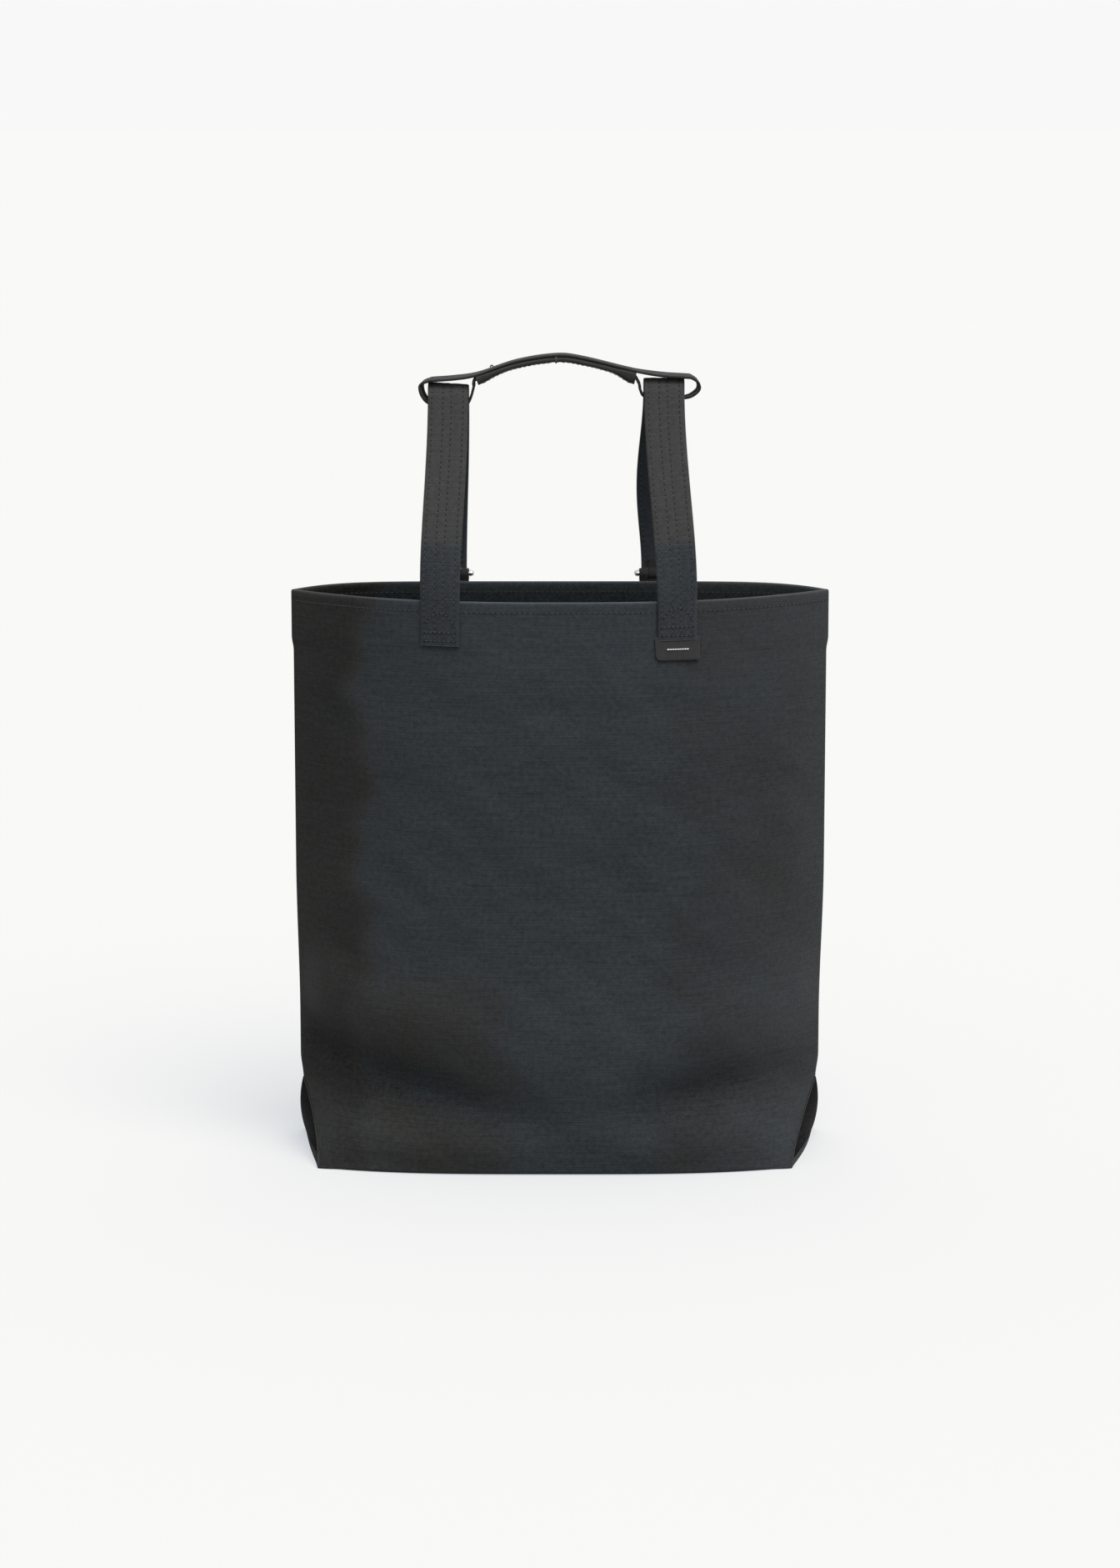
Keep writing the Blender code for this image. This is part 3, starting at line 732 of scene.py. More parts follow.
def end_grid(side, hand):
    z = np.concatenate([np.linspace(0.0, BASE_FOLD, 5)[:-1], np.linspace(BASE_FOLD, PINCH * 0.985, 34)])
    front, back = end_edge(FRONT, side, z), end_edge(BACK, side, z)
    v = np.linspace(0, 1, 41) ** 1.3
    grid = front[:, None] + (back - front)[:, None] * v[None, :, None]
    tuck = np.sin(math.pi * v**0.45) * (1 - v) ** 0.3
    depth = HOLLOW * np.sin(math.pi * (z / PINCH) ** 0.85) ** 0.95
    low = np.exp(-((z / 0.010) ** 2))
    bulge = BASE_BULGE[hand] * np.sin(math.pi * v)
    grid[:, :, 0] += side * (low[:, None] * bulge[None] - depth[:, None] * tuck[None])
    # The cloth folds back inside the panels, so it starts behind their edges.
    grid[:, :, 1] += 0.0014 * (opened(z) ** 0.3)[:, None] * ((1 - v) ** 3 - v**3)[None]
    grid[:, :, 2] += LIFT
    return grid


for side, hand in ((-1, "left"), (1, "right")):
    outer = end_grid(side, hand)
    # Painted shade: darkest on the cloth just behind the front panel's edge, where least light reaches.
    shade = np.linspace(-0.80, -0.45, outer.shape[1])
    if grid_normals(outer)[10, 16, 0] * side < 0:
        outer, shade = outer[:, ::-1], shade[::-1]
    cloth = np.zeros_like(outer)
    cloth[:, :, 0] = np.linspace(0, 0.125, outer.shape[1])[None]
    cloth[:, :, 1] = outer[:, :, 2]
    cloth[:, :, 2] = 0.2
    inner = outer - grid_normals(outer) * CANVAS
    inner[:, :, 2] = np.maximum(inner[:, :, 2], LIFT)
    end = Builder()
    add_shell(end, outer, inner, cloth, np.tile(shade, (len(outer), 1)))
    # The seam ridge along the end's edges, made paler as a painted highlight.
    line = [end_edge(FRONT, side, np.linspace(PINCH, BASE_FOLD * 0.2, 30))]
    line.append(end_edge(BACK, side, np.linspace(BASE_FOLD * 0.2, PINCH, 30)))
    line = np.concatenate(line)
    line[:, 0] -= side * 0.0002
    line[:, 2] = np.maximum(line[:, 2], 0.0008)
    add_tube(end, line, 0.0007, 8, tone=0.25)
    end = end.make(f"{hand}_base_end", canvas)
    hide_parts(f"{hand}_gusset")
    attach(end, "bag")



def recolour(node, material):
    """Gives a CAD node that is shown as it is its new material."""
    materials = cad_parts[node].data.materials
    materials.clear()
    materials.append(material)


for hand in ("left", "right"):
    recolour(f"{hand}_seam_binding", binding)

# --- hem stitches -------------------------------------------------------------------------


def panel_line(panel, z, low, high, inset=0.0, turned=False):
    u = np.linspace(low, high, 400)
    points, normals = panel_point(panel, u, np.full(u.shape, z), inset)
    return points, -normals if turned else normals


HEM_STITCH = 0.0080  # below the rim
STITCH = 0.0040
hem = Builder()
for panel in (FRONT, BACK):
    outer = panel_line(panel, RIM - HEM_STITCH, -0.985, 0.985)
    add_stitches(hem, *resample(*outer, STITCH), hole=0.00085)
    inner = panel_line(panel, RIM - HEM_STITCH, -0.955, 0.955, 2 * HEM_FOLD, True)
    add_stitches(hem, *resample(*inner, STITCH))
hem = hem.make("hem_stitches", thread, needle_hole_shade)
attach(hem, "bag")

# --- straps -------------------------------------------------------------------------------

PIN_Y, PIN_Z = np.mean(box("left_cross_pin"), axis=0)[1:]
EYE = 0.0041
GAP = 0.0003
ARCH = 0.015  # radius of the strap's middle layer over the grip
SPREAD = math.radians(20)  # how far above its centre the arch runs into the legs
ROOT_HANDLE, LEG_HANDLE = 0.045, 0.055  # of the curves at the legs' lower and upper ends
PIN_TURN = 0.0033  # radius of the webbing's middle layer round the cross pin
STRAP_ROWS_M = 0.0008
STRAP_SEAMS = (0.10, 0.37, 0.58, 0.87)  # lengthwise rows of stitches, as shares of the width
STRAP_STITCH = 0.0042


TOP_ROLL = {"left": -0.06, "right": 0.0}  # slope of the strap's top, from left to right
SEWN_SHIFT = {"left": 0.0, "right": 0.0018}
SEWN_DROP = {"left": 0.0016, "right": 0.0027}
BACK_LEG_BOW = {"left": 0.0, "right": -0.0042}  # how far the leg swings sideways at its middle


def centre_x(node):
    return np.mean(box(node), axis=0)[0]


def round_pin(x, first, last, count):
    """Webbing round the cross pin, from one angle to another in degrees."""
    angles = np.linspace(math.radians(first), math.radians(last), count)
    return xyz(x, PIN_Y + PIN_TURN * np.cos(angles), PIN_Z + PIN_TURN * np.sin(angles))


def crossed_box(left, floor, right, top):
    """Runs of stitches round a box and over its diagonals, each as a pair of coordinates."""
    a, b, c, d = (left, floor), (right, floor), (right, top), (left, top)
    for row in ([a, b, c, d, a, c], [d, b]):
        for p, q in zip(row, row[1:]):
            yield np.linspace(p[0], q[0], 30), np.linspace(p[1], q[1], 30)


class Ribbon:
    """A flat band of webbing along a line, with its own width, lift and hug at each point."""

    def __init__(self, line, across, width, thickness, step, hug=None, closed=False):
        marks = along_of(line)
        count = int(round(marks[-1] / step)) + 1
        self.s = np.linspace(0, marks[-1], count)
        if closed:
            self.s = self.s[:-1]
        self.line = at_lengths(line, marks, self.s)
        self.along = directions(self.line, closed)
        wide = at_lengths(across, marks, self.s)
        self.wide = unit(wide - self.along * (wide * self.along).sum(1)[:, None])
        self.normal = np.cross(self.wide, self.along)
        self.width = np.broadcast_to(np.asarray(width, float), self.s.shape)
        self.hug = np.zeros(len(self.s)) if hug is None else np.interp(self.s, marks, hug)
        self.thickness = thickness
        self.closed = closed

    def at(self, s, share, side=1, above=0.0):
        """Points and normals at lengths s and shares of the width, on the outer or inner side."""
        s, share = np.broadcast_arrays(np.asarray(s, float), np.asarray(share, float))
        wide = unit(at_lengths(self.wide, self.s, s))
        normal = unit(at_lengths(self.normal, self.s, s))
        c = (share - 0.5) * np.interp(s, self.s, self.width)
        lift = side * (self.thickness / 2 + above) - np.interp(s, self.s, self.hug) * c * c
        centre = at_lengths(self.line, self.s, s)
        return centre + wide * c[:, None] + normal * lift[:, None], normal * side


def quilt(shares, seams, depth=0.00028):
    """How far the webbing dips at its rows of stitches."""
    dip = np.zeros(len(shares))
    for seam in seams:
        dip = np.minimum(dip, -depth * np.exp(-(((shares - seam) / 0.035) ** 2)))
    return dip


def add_ribbon(builder, ribbon, seams=(), serrate=0.00025, tone=None, columns=17, slot=0, dye=None):
    """The band as a closed solid, with serrated woven edges and dips at its seams."""
    shares = np.linspace(0, 1, columns)
    if len(seams):
        shares = np.unique(np.concatenate([shares, np.array(seams)]).round(4))
    columns = len(shares)
    rows = len(ribbon.s)
    tooth = serrate * np.where(np.arange(rows) % 2 == 0, 1.0, -1.0)
    edge = np.abs(2 * shares - 1)
    push = np.sign(shares - 0.5) * (edge > 0.98)
    top, low = [], []
    dips = quilt(shares, seams)
    round_off = 1 - 0.35 * (edge > 0.98) - 0.08 * (edge > 0.9)
    for side, out in ((1, top), (-1, low)):
        c = (shares - 0.5)[None] * ribbon.width[:, None] + push[None] * tooth[:, None]
        lift = side * (ribbon.thickness / 2 * round_off + dips)[None] * np.ones((rows, 1))
        lift = lift - ribbon.hug[:, None] * c * c
        out.append(
            ribbon.line[:, None] + ribbon.wide[:, None] * c[..., None]
            + ribbon.normal[:, None] * lift[..., None]
        )
    hoop = np.concatenate([top[0], low[0][:, ::-1]], axis=1)
    per = 2 * columns
    faces = grid_quads(rows, per, around=True, ring=ribbon.closed, flip=True)
    if not ribbon.closed:
        for row, turned in ((0, False), (rows - 1, True)):
            for j in range(columns - 1):
                a, b = row * per + j, row * per + j + 1
                quad = (a, b, row * per + per - 2 - j, row * per + per - 1 - j)
                faces.append(quad[::-1] if turned else quad)
    cloth = np.zeros((rows, per, 3))
    c = (shares - 0.5)[None] * ribbon.width[:, None]
    cloth[:, :, 0] = np.concatenate([c, c[:, ::-1]], axis=1)
    cloth[:, :, 1] = ribbon.s[:, None]
    cloth[:, columns:, 2] = 0.3
    shades = [np.zeros(rows) if given is None else given for given in (tone, dye)]
    tones, dyes = (np.repeat(values[:, None], per, axis=1) for values in shades)
    builder.add(hoop, faces, cloth, tones, slot, dyes)


def front_y(x, z):
    return panel_xy(FRONT, x / half_width(FRONT, z, x), z)[1]


def strap_line(hand):
    """The strap's middle from its sewn end over the arch to its pin, its width's way and hug."""
    x = centre_x(f"{hand}_front_anchor") + SEWN_SHIFT[hand]
    bottom = box(f"{hand}_front_anchor")[0][2] - SEWN_DROP[hand]
    back_x = centre_x(f"{hand}_strap_eye")
    top_low, top_high = box(f"{hand}_strap_top")
    top_x = (top_low[0] + top_high[0]) / 2
    rise = top_high[2] - ARCH - WEBBING / 2
    sewn_z = np.linspace(bottom, RIM, 24)
    sewn = xyz(x, front_y(np.full(24, x), sewn_z) - 0.0001 - WEBBING / 2, sewn_z)
    angles = np.linspace(math.pi - SPREAD, SPREAD, 60)
    arch = xyz(top_x, ARCH * np.cos(angles), rise + ARCH * np.sin(angles))
    down = np.array([0, -math.sin(SPREAD), -math.cos(SPREAD)])
    up = np.array([0, 0, ROOT_HANDLE])
    front = bezier(sewn[-1], sewn[-1] + up, arch[0] + down * LEG_HANDLE, arch[0], 60)
    down[1] = -down[1]
    finish = np.array([back_x, PIN_Y, PIN_Z + EYE])
    back = bezier(arch[-1], arch[-1] + down * LEG_HANDLE, finish + up, finish, 70)
    back[:, 0] += BACK_LEG_BOW[hand] * np.sin(math.pi * np.linspace(0, 1, 70)) ** 2
    line = np.concatenate([sewn[:-1], front[:-1], arch, back[1:]])
    step = 0.003
    slope = (front_y(x + step, RIM) - front_y(x - step, RIM)) / (2 * step)
    bend = (front_y(x + step, RIM) + front_y(x - step, RIM) - 2 * front_y(x, RIM)) / step**2
    edge = unit(np.array([1.0, slope, 0.0]))
    level = np.array([1.0, 0.0, TOP_ROLL[hand]])
    # Flat on the panel where it is sewn, level once it is clear of the rim.
    freed = np.clip((line[:, 2] - RIM) / ROOT_HANDLE, 0, 1)
    freed[len(sewn) + len(front) - 2:] = 1.0
    across = mix(edge[None], level[None], freed[:, None])
    hug = 0.5 * bend * (1 - freed) ** 2
    return line, across, hug


def ride_strap(piece):
    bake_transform(piece)


def strap_shades(ribbon):
    """Tone and dye: painted light makes the front paler above its lower part, where it tilts up towards the
    light, and neutral there; cool and dark elsewhere.
    """
    z, y = ribbon.line[:, 2], ribbon.line[:, 1]
    front = smooth((-y + 0.002) / 0.006)
    # Painted light: the strap's upper front is painted paler.
    lit_upper_front = smooth((z - 0.470) / 0.012) * front
    return 0.45 * lit_upper_front + 0.16 * (1 - front), 1 - lit_upper_front


for hand in ("left", "right"):
    line, across, hug = strap_line(hand)
    length = along_of(line)[-1]
    ribbon = Ribbon(line, across, STRAP_WIDTH, WEBBING, STRAP_ROWS_M, hug)
    strap = Builder()
    tone, dye = strap_shades(ribbon)
    add_ribbon(strap, ribbon, STRAP_SEAMS, tone=tone, dye=dye)
    strap = strap.make(f"{hand}_strap_webbing", webbing)
    nodes = ("front_anchor", "front_root", "front_leg", "strap_top", "back_leg", "back_root")
    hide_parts(*(f"{hand}_{node}" for node in nodes))
    ride_strap(strap)

    sewing = Builder()
    for share in STRAP_SEAMS:
        at = np.arange(0.0042, length - 0.005, STRAP_STITCH) + 0.0012 * (share > 0.5)
        for side in (1, -1):
            first = at if side == 1 else at[at > 0.045]
            points, normals = ribbon.at(first, np.full(len(first), share), side, -0.00024)
            add_stitches(sewing, points, normals, radius=0.00032, gap=0.0016, hole=0.00090)
    # The sewn end: two rows across it and a gabled row above them.
    rows = [
        [(0.0036, 0.10), (0.0036, 0.90)],
        [(0.0100, 0.10), (0.0100, 0.90)],
        [(0.0165, 0.14), (0.0230, 0.30), (0.0245, 0.50), (0.0230, 0.70), (0.0165, 0.86)],
    ]
    for row in rows:
        knots = np.array(row)
        share = np.linspace(0, 1, 60) * (len(knots) - 1)
        s = np.interp(share, range(len(knots)), knots[:, 0])
        c = np.interp(share, range(len(knots)), knots[:, 1])
        points, normals = ribbon.at(s, c, 1, 0.00002)
        add_stitches(sewing, *resample(points, normals, 0.0036), radius=0.00040, gap=0.0014, hole=0.00095)
    sewing = sewing.make(f"{hand}_strap_stitches", strap_thread, needle_hole_shade)
    ride_strap(sewing)

    # The end loop that holds the pin, with a tail sewn up the outer face.
    tail = 0.026
    top_layer = 0.0009
    out = 1 if ribbon.normal[-1][1] > 0 else -1
    inner, _ = ribbon.at(np.linspace(length - 0.007, length, 8), 0.5, -out, top_layer)
    outer, _ = ribbon.at(np.linspace(length, length - tail, 24), 0.5, out, top_layer)
    turn = round_pin(centre_x(f"{hand}_strap_eye"), 145, 395, 26)
    path = np.concatenate([inner, turn, outer])
    eye_ribbon = Ribbon(path, np.tile([1.0, 0, 0], (len(path), 1)), 0.0196, 0.0014, 0.0006)
    eye = Builder()
    add_ribbon(eye, eye_ribbon, (0.12, 0.88), columns=11)
    eye = eye.make(f"{hand}_pin_loop", webbing)
    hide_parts(f"{hand}_strap_eye")
    ride_strap(eye)
    sewing = Builder()
    total = eye_ribbon.s[-1]
    outside = 1 if eye_ribbon.normal[-5][1] > 0 else -1
    for s, c in crossed_box(total - 0.002, 0.12, total - 0.022, 0.88):
        points, normals = eye_ribbon.at(s, c, outside, 0.00002)
        add_stitches(sewing, *resample(points, normals, 0.0032), radius=0.00030, gap=0.0010)
    sewing = sewing.make(f"{hand}_pin_loop_stitches", strap_thread, needle_hole_shade)
    ride_strap(sewing)

# --- back tabs and pins -------------------------------------------------------------------

LUG = 0.0064  # width of each of the tab's two lugs
LAYER_OFFSET = 0.0008  # of each layer of the tab from the pin's plane
for hand in ("left", "right"):
    low, high = box(f"{hand}_back_tab")
    x, bottom = (low[0] + high[0]) / 2, low[2]
    half = (high[0] - low[0]) / 2
    layer = 0.0014
    tab = Builder()
    seams = Builder()
    for offset in (-half + LUG / 2, half - LUG / 2):
        rise = np.linspace(bottom, PIN_Z - 0.0052, 30)
        near = xyz(x + offset, PIN_Y - LAYER_OFFSET, rise)
        far = xyz(x + offset, PIN_Y + LAYER_OFFSET, rise[::-1])
        path = np.concatenate([near, round_pin(x + offset, 205, -25, 30), far])
        lug = Ribbon(path, np.tile([1.0, 0, 0], (len(path), 1)), LUG, layer, STRAP_ROWS_M)
        add_ribbon(tab, lug, columns=7)
    for shift in (-LAYER_OFFSET, LAYER_OFFSET):
        path = xyz(x, PIN_Y + shift, np.linspace(bottom, PIN_Z - 0.0038, 40))
        plate = Ribbon(path, np.tile([1.0, 0, 0], (40, 1)), 2 * (half - LUG), layer, STRAP_ROWS_M)
        add_ribbon(tab, plate, columns=13, serrate=0.0)
    tab = tab.make(f"{hand}_back_tab_webbing", webbing)
    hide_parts(f"{hand}_back_tab")
    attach(tab, "bag")
    inset = 0.0030
    left, right, floor, top = x - half + inset, x + half - inset, bottom + inset, PIN_Z - 0.0085
    for across, up in crossed_box(left, floor, right, top):
        points = xyz(across, PIN_Y + LAYER_OFFSET + layer / 2, up)
        normals = np.tile([0, 1.0, 0], (len(points), 1))
        add_stitches(seams, *resample(points, normals, 0.0034), radius=0.00032, gap=0.0010)
    seams = seams.make(f"{hand}_back_tab_stitches", strap_thread, needle_hole_shade)
    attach(seams, "bag")
    recolour(f"{hand}_cross_pin", steel)

# --- carry grip ---------------------------------------------------------------------------

GRIP_WIDTH = 0.025
BAND = 0.0020
SLEEVE_WIDTH = 0.0284
SLEEVE_DROP = 0.0030  # from the upper band to the sleeve
SLEEVE_SEAM = -0.0030
SLEEVE_LEFT, SLEEVE_RIGHT = box("grip_sleeve_left")[0][0], box("grip_sleeve_right")[1][0]
UPPER = [
    (-0.0950, 0.5939), (-0.0780, 0.5952), (-0.0607, 0.5979), (-0.0321, 0.6072), (-0.0030, 0.6116),
    (0.0165, 0.6096), (0.0483, 0.6020), (0.0607, 0.5995), (0.0780, 0.5974), (0.0950, 0.5963),
]
RIGHT_END = [(0.0984, 0.5957), (0.1030, 0.5922), (0.1036, 0.5868), (0.0985, 0.5822), (0.0930, 0.5806)]
LOWER_RIGHT = [(0.0880, 0.5803), (0.0690, 0.5804), (0.0625, 0.5819), (0.0600, 0.5862), (0.0588, 0.5915)]
LOWER_LEFT = [(-0.0645, 0.5885), (-0.0664, 0.5815), (-0.0692, 0.5762), (-0.0740, 0.5751), (-0.0880, 0.5751)]
LEFT_END = [(-0.0920, 0.5756), (-0.0985, 0.5775), (-0.1030, 0.5835), (-0.1036, 0.5905), (-0.0980, 0.5934)]


def through(knots, closed=False, per_span=14):
    """A smooth line in the X-Z plane through the knots, by Catmull-Rom spans."""
    points = np.array([(x, 0.0, z) for x, z in knots])
    count = len(points)
    if closed:
        padded = np.concatenate([points[-1:], points, points[:2]])
        spans = count
    else:
        padded = np.concatenate([2 * points[:1] - points[1:2], points, 2 * points[-1:] - points[-2:-1]])
        spans = count - 1
    line = []
    for k in range(spans):
        a, b, c, d = padded[k:k + 4]
        line.append(bezier(b, b + (c - a) / 6, c - (d - b) / 6, c, per_span + 1)[:-1])
    line = np.concatenate(line)
    return line if closed else np.concatenate([line, points[-1:]])


def slacken(points):
    """The grip's held part rides up a little, its ends dip forward and its end loops twist."""
    held = smooth((0.078 - np.abs(points[:, 0])) / 0.030)
    upper_run = smooth((points[:, 2] - 0.586) / 0.006)
    ends = smooth((np.abs(points[:, 0]) - 0.092) / 0.008)
    points = points.copy()
    points[:, 2] += 0.045 * upper_run * (1 - held) * points[:, 1] + 0.0005 * held
    points[:, 0] += np.where(points[:, 0] < 0, 0.085, -0.040) * ends * points[:, 1]
    return points


upper = through(UPPER)
held = upper[(upper[:, 0] > SLEEVE_LEFT - 0.0005) & (upper[:, 0] < SLEEVE_RIGHT + 0.0005)]
core = held - np.array([0, 0, SLEEVE_DROP])
core_knots = [(p[0], p[2]) for p in core[::12][::-1]]
loop_knots = UPPER + RIGHT_END + LOWER_RIGHT + core_knots + LOWER_LEFT + LEFT_END
loop = through(loop_knots, closed=True)
loop = np.concatenate([loop, loop[:1]])
grip_ribbon = Ribbon(
    loop, np.tile([0, 1.0, 0], (len(loop), 1)), GRIP_WIDTH, BAND, 0.0009, closed=True
)
grip = Builder()
add_ribbon(grip, grip_ribbon, serrate=0.00018, columns=13, tone=np.full(len(grip_ribbon.s), -0.12))
grip = grip.make("grip_band", webbing, bend=slacken)
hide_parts("grip_upper_band", "grip_left_loop", "grip_right_loop", "grip_lower_band")
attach(grip, "grip")


def sleeve_hoop(width, thickness, count=32):
    """A flat rounded tube's outline across the grip: y and the height above its middle."""
    angles = np.arange(count) * math.tau / count
    c, s = np.cos(angles), np.sin(angles)
    y = width / 2 * np.sign(c) * np.abs(c) ** 0.35
    lift = thickness / 2 * np.sign(s) * np.abs(s) ** 0.6
    return y, lift


sleeve_line = through([(p[0], p[2]) for p in core[::6]])
for hand, low, high in (
    ("left", SLEEVE_LEFT, SLEEVE_SEAM - GAP / 2), ("right", SLEEVE_SEAM + GAP / 2, SLEEVE_RIGHT)
):
    inside = (sleeve_line[:, 0] >= low) & (sleeve_line[:, 0] <= high)
    part = sleeve_line[inside]
    marks = along_of(part)
    s = np.linspace(0, marks[-1], int(marks[-1] / 0.0009))
    centre = at_lengths(part, marks, s)
    along = directions(centre)
    lift_way = np.stack([-along[:, 2], np.zeros(len(s)), along[:, 0]], axis=1)
    ripple = 0.00022 * np.sin(s * math.tau / 0.0040) + 0.00015 * np.sin(s * math.tau / 0.0170 + 0.8)
    # The open end of each half flares and sags around the webbing that comes out of it.
    far = s if hand == "left" else marks[-1] - s
    flare = (0.0014 if hand == "left" else 0.0026) * np.exp(-((far / 0.012) ** 2))
    blocks = []
    for width, thickness in ((SLEEVE_WIDTH, 0.0038), (SLEEVE_WIDTH - 0.0016, 0.0024)):
        y, lift = sleeve_hoop(width, thickness)
        low_edge = (np.abs(y) > width * 0.40) & (lift < 0)
        wave = 1.0 + np.where(low_edge, 1.0, 0.25)[None] * ripple[:, None] / (thickness / 2)
        hoop = centre[:, None] + np.array([0, 1.0, 0])[None, None] * y[None, :, None]
        open_by = np.where(lift[None] < 0, -2.0, 0.25) * flare[:, None] * np.abs(lift[None]) / 0.0019
        hoop = hoop + lift_way[:, None] * (lift[None] * wave + open_by)[..., None]
        blocks.append(hoop)
    rows, per = blocks[0].shape[:2]
    size = rows * per
    faces = grid_quads(rows, per, around=True, flip=True)
    faces += grid_quads(rows, per, size, around=True)
    for row, turned in ((0, False), (rows - 1, True)):
        for j in range(per):
            k = (j + 1) % per
            a, b = row * per + j, row * per + k
            quad = (a, b, b + size, a + size)
            faces.append(quad[::-1] if turned else quad)
    cloth = np.zeros((2, rows, per, 3))
    cloth[..., 1] = np.linspace(0, 0.062, per)[None, None]
    cloth[..., 0] = s[None, :, None]
    cloth[1, ..., 2] = 0.4
    sleeve = Builder()
    tones = np.full((2, rows, per), 0.30)
    tones[:, [0, 1, -2, -1]] += 0.1
    sleeve.add(np.stack(blocks), faces, cloth, tones)
    sleeve = sleeve.make(f"grip_sleeve_{hand}_cloth", canvas, bend=slacken)
    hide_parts(f"grip_sleeve_{hand}")
    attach(sleeve, "grip")
    sewing = Builder()
    for side in (-1, 1):
        inset = SLEEVE_WIDTH / 2 - 0.0034
        for face in (-1, 1):
            sag = np.where(face < 0, -2.0, 0.25) * flare
            line = centre + np.array([0, side * inset, 0]) + lift_way * (face * 0.00186 + sag)[:, None]
            points, normals = resample(line, lift_way * face, 0.0036)
            add_stitches(sewing, points[1:-1], normals[1:-1], radius=0.00030, gap=0.0010)
    sewing = sewing.make(f"grip_sleeve_{hand}_stitches", thread, needle_hole_shade, bend=slacken)
    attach(sewing, "grip")

# The raised seam where the sleeve's halves meet, and a thread end on the upper band.
y, lift = sleeve_hoop(SLEEVE_WIDTH + 0.0004, 0.0042, 40)
k = int(np.argmin(np.abs(sleeve_line[:, 0] - SLEEVE_SEAM)))
ring = xyz(SLEEVE_SEAM, y, sleeve_line[k][2] + lift)
seam = Builder()
add_tube(seam, ring, 0.00080, 8, closed=True, tone=0.15)
spot = upper[int(np.argmin(np.abs(upper[:, 0] + 0.0520)))]
nub = spot + np.array([
    (-0.0014, 0.0112, 0.0008), (-0.0008, 0.0110, 0.0017), (0.0002, 0.0108, 0.0023),
    (0.0010, 0.0110, 0.0017), (0.0014, 0.0112, 0.0008),
])
add_tube(seam, nub, [0.0003, 0.0005, 0.0006, 0.0005, 0.0003], 8)
seam = seam.make("grip_seam_cord", strap_thread, bend=slacken)
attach(seam, "grip")

# --- label --------------------------------------------------------------------------------

label_low, label_high = box("label")
LABEL_THICK = 0.0009


def label_frame():
    """The label's top left corner, its direction along, its width and its outward direction."""
    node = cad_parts["label"]
    points = np.array([v.co for v in node.data.vertices])
    top = points[points[:, 2] > label_high[2] - 1e-5]
    left = top[top[:, 0] < top[:, 0].mean()]
    right = top[top[:, 0] >= top[:, 0].mean()]
    start, end = left.mean(0), right.mean(0)
    along = unit(end - start)
    return start, along, np.linalg.norm(end - start), np.array([along[1], -along[0], 0.0])


start, along, label_width, outward = label_frame()
start = start - along * 0.0014
label_width += 0.0028
label_height = label_high[2] - label_low[2] + 0.0026  # part of it stays hidden under the strap
columns, rows = 40, 22
c = np.linspace(0, 1, columns)
r = np.linspace(0, 1, rows)
corner = 0.09
left_in = np.where(r > 0.80, corner * (1 - np.sqrt(np.maximum(0, 1 - ((r - 0.80) / 0.20) ** 2))), 0.0)
left_in = left_in + 0.028 * r
grid = np.zeros((rows, columns, 3))
for i in range(rows):
    share = left_in[i] + (1 - left_in[i]) * c
    bow = 0.0006 * math.sin(math.pi * r[i]) * np.sin(math.pi * c) + 0.0010 * r[i] ** 2
    rib = 0.00022 * (np.exp(-(((r[i] - 0.84) / 0.02) ** 2)) + np.exp(-(((r[i] - 0.93) / 0.02) ** 2)))
    grid[i] = (
        start + along * (share * label_width)[:, None]
        + outward * (bow + rib + LABEL_THICK / 2)[:, None]
    )
    grid[i, :, 2] = label_high[2] - r[i] * label_height
cloth = np.zeros_like(grid)
cloth[:, :, 0] = c[None] * label_width
cloth[:, :, 1] = r[:, None] * label_height
tone = np.zeros((rows, columns))
tone[:, :1] = 0.35
tone[-1] = 0.2
outer = grid
if (grid_normals(outer)[5, 5] @ outward) < 0:
    outer, cloth, tone = grid[:, ::-1], cloth[:, ::-1], tone[:, ::-1]
label = Builder()
add_shell(label, outer, outer - outward * LABEL_THICK, cloth, tone)
label = label.make("label_cloth", label_weave)
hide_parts("label")
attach(label, "label")

# A plain woven bar stands where the real label has its mark.
bar = Builder()
for k in range(9):
    a, b = 0.26 + k * 0.055, 0.26 + k * 0.055 + 0.045
    p, q = (start + along * (t * label_width) + outward * (0.0012 + LABEL_THICK / 2) for t in (a, b))
    line = np.linspace(p, q, 6)
    line[:, 2] = label_high[2] - 0.52 * label_height
    add_tube(bar, line, [0.0003, 0.00045, 0.0005, 0.0005, 0.00045, 0.0003], 8)
bar = bar.make("label_bar", stripe_yarn)
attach(bar, "label")

# --- floor, light and camera --------------------------------------------------------------

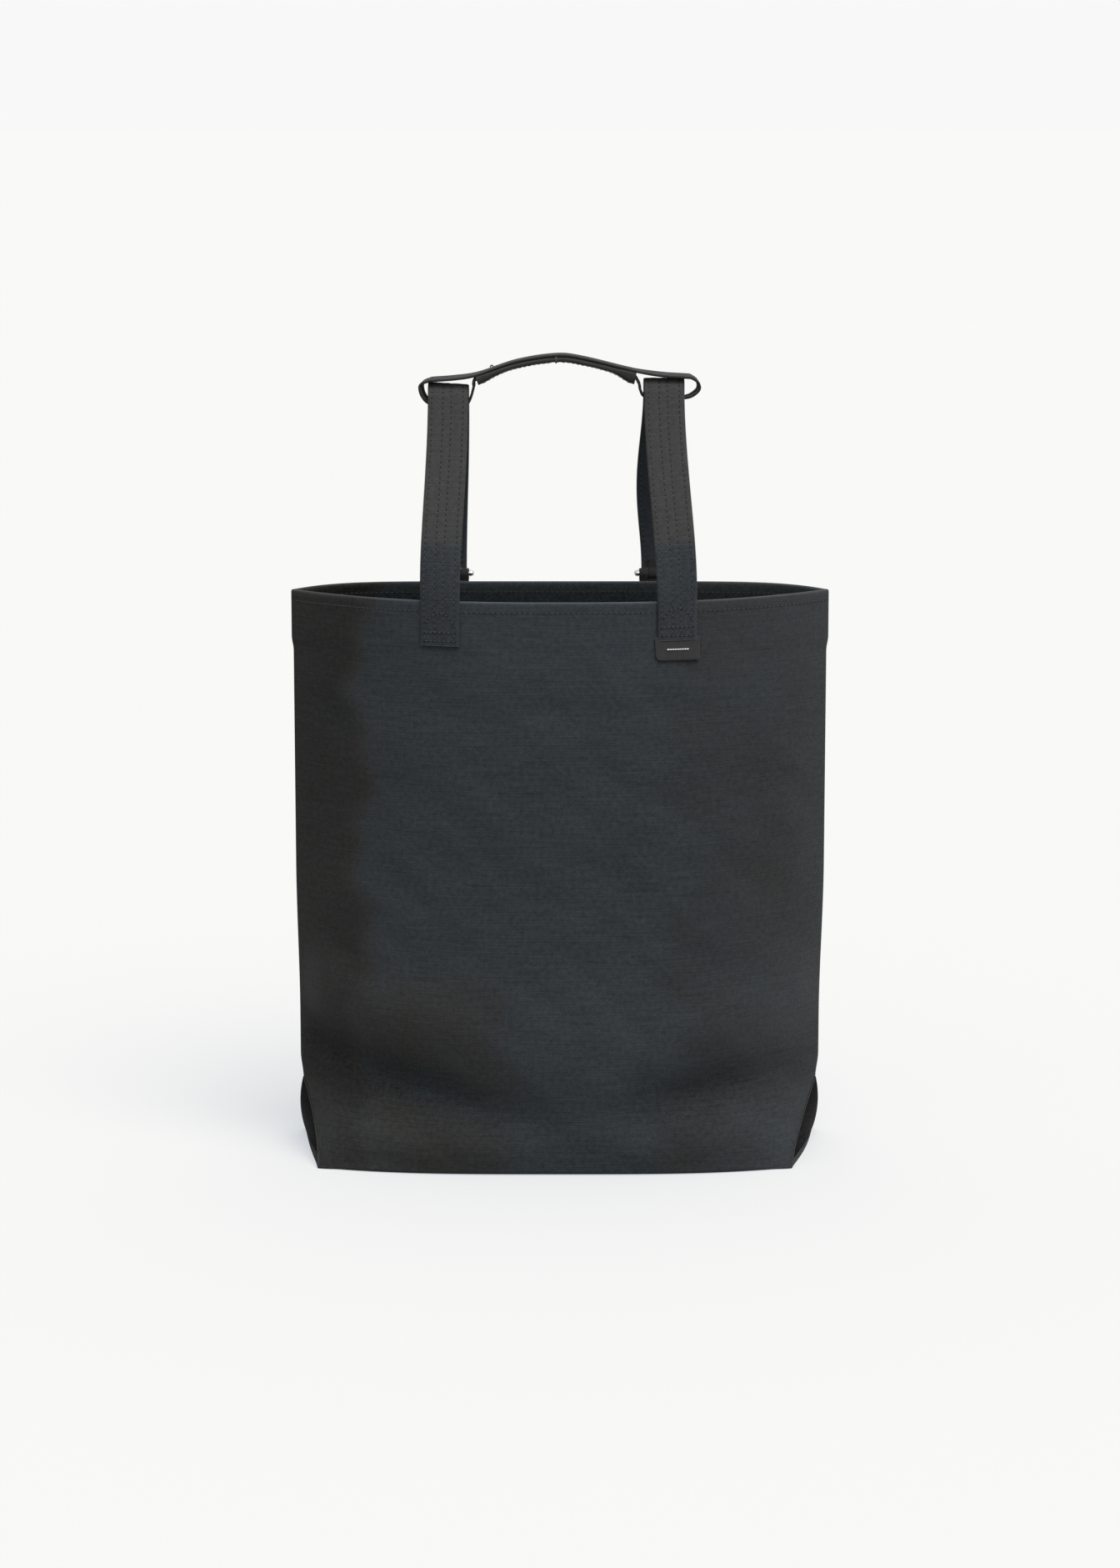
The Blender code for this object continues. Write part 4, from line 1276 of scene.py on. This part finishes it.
FLOOR_REACH = 105.0
floor = Builder()
across = np.linspace(-FLOOR_REACH, FLOOR_REACH, 9)
grid = np.array([[(x, y, 0.0) for x in across] for y in across])
floor.add(grid, grid_quads(9, 9, flip=True))
paper = Nodes(bpy.data.materials.new("studio_floor"))
for socket, value in (
    ("Base Color", (0.33, 0.30, 0.26, 1.0)), ("Roughness", 1.0), ("Specular IOR Level", 0.0),
    ("Emission Color", (0.428, 0.472, 0.527, 1.0)), ("Emission Strength", 1.0),
):
    paper.shader.inputs[socket].default_value = value
floor = floor.make("studio_floor", paper.owner)
floor.visible_diffuse = False

scene = bpy.context.scene
scene.view_settings.view_transform = "Standard"
scene.view_settings.look = "None"
# The studio's walls and ceiling are pale, and little light comes from below.
sky = Nodes(bpy.data.worlds.new("studio"), "Background")
scene.world = sky.owner
direction = sky.split(sky.tree.nodes.new("ShaderNodeTexCoord").outputs["Generated"])
level = sky.remap(direction["Z"], -0.32, -0.02, 0.08, 1.0)
wall = sky.remap(direction["X"], -0.85, -0.20, 0.75, 1.0)
sky.shader.inputs[0].default_value = (0.939, 0.939, 0.939, 1.0)
sky.put(sky.shader.inputs[1], sky.times(level, wall))

light = bpy.data.lights.new("key", "SUN")
light.energy = 2.6
light.angle = math.radians(45)
lamp = bpy.data.objects.new("key", light)
scene.collection.objects.link(lamp)
lamp.rotation_mode = "QUATERNION"
lamp.rotation_quaternion = Vector((0.55, -1.0, 1.7)).to_track_quat("Z", "Y")

FOCAL_LENGTH = 91.866  # mm, on a 36 mm sensor
CAMERA_DROP = 9.7  # degrees below level
camera_data = bpy.data.cameras.new("camera")
camera_data.sensor_fit = "AUTO"
camera_data.sensor_width = 36.0
camera_data.lens = FOCAL_LENGTH
camera_data.clip_start = 0.05
camera_data.clip_end = 300.0
camera = bpy.data.objects.new("camera", camera_data)
scene.collection.objects.link(camera)
camera.location = (0.0, -3.0038, 0.8)
camera.rotation_euler = (math.radians(90 - CAMERA_DROP), 0.0, 0.0)
scene.camera = camera
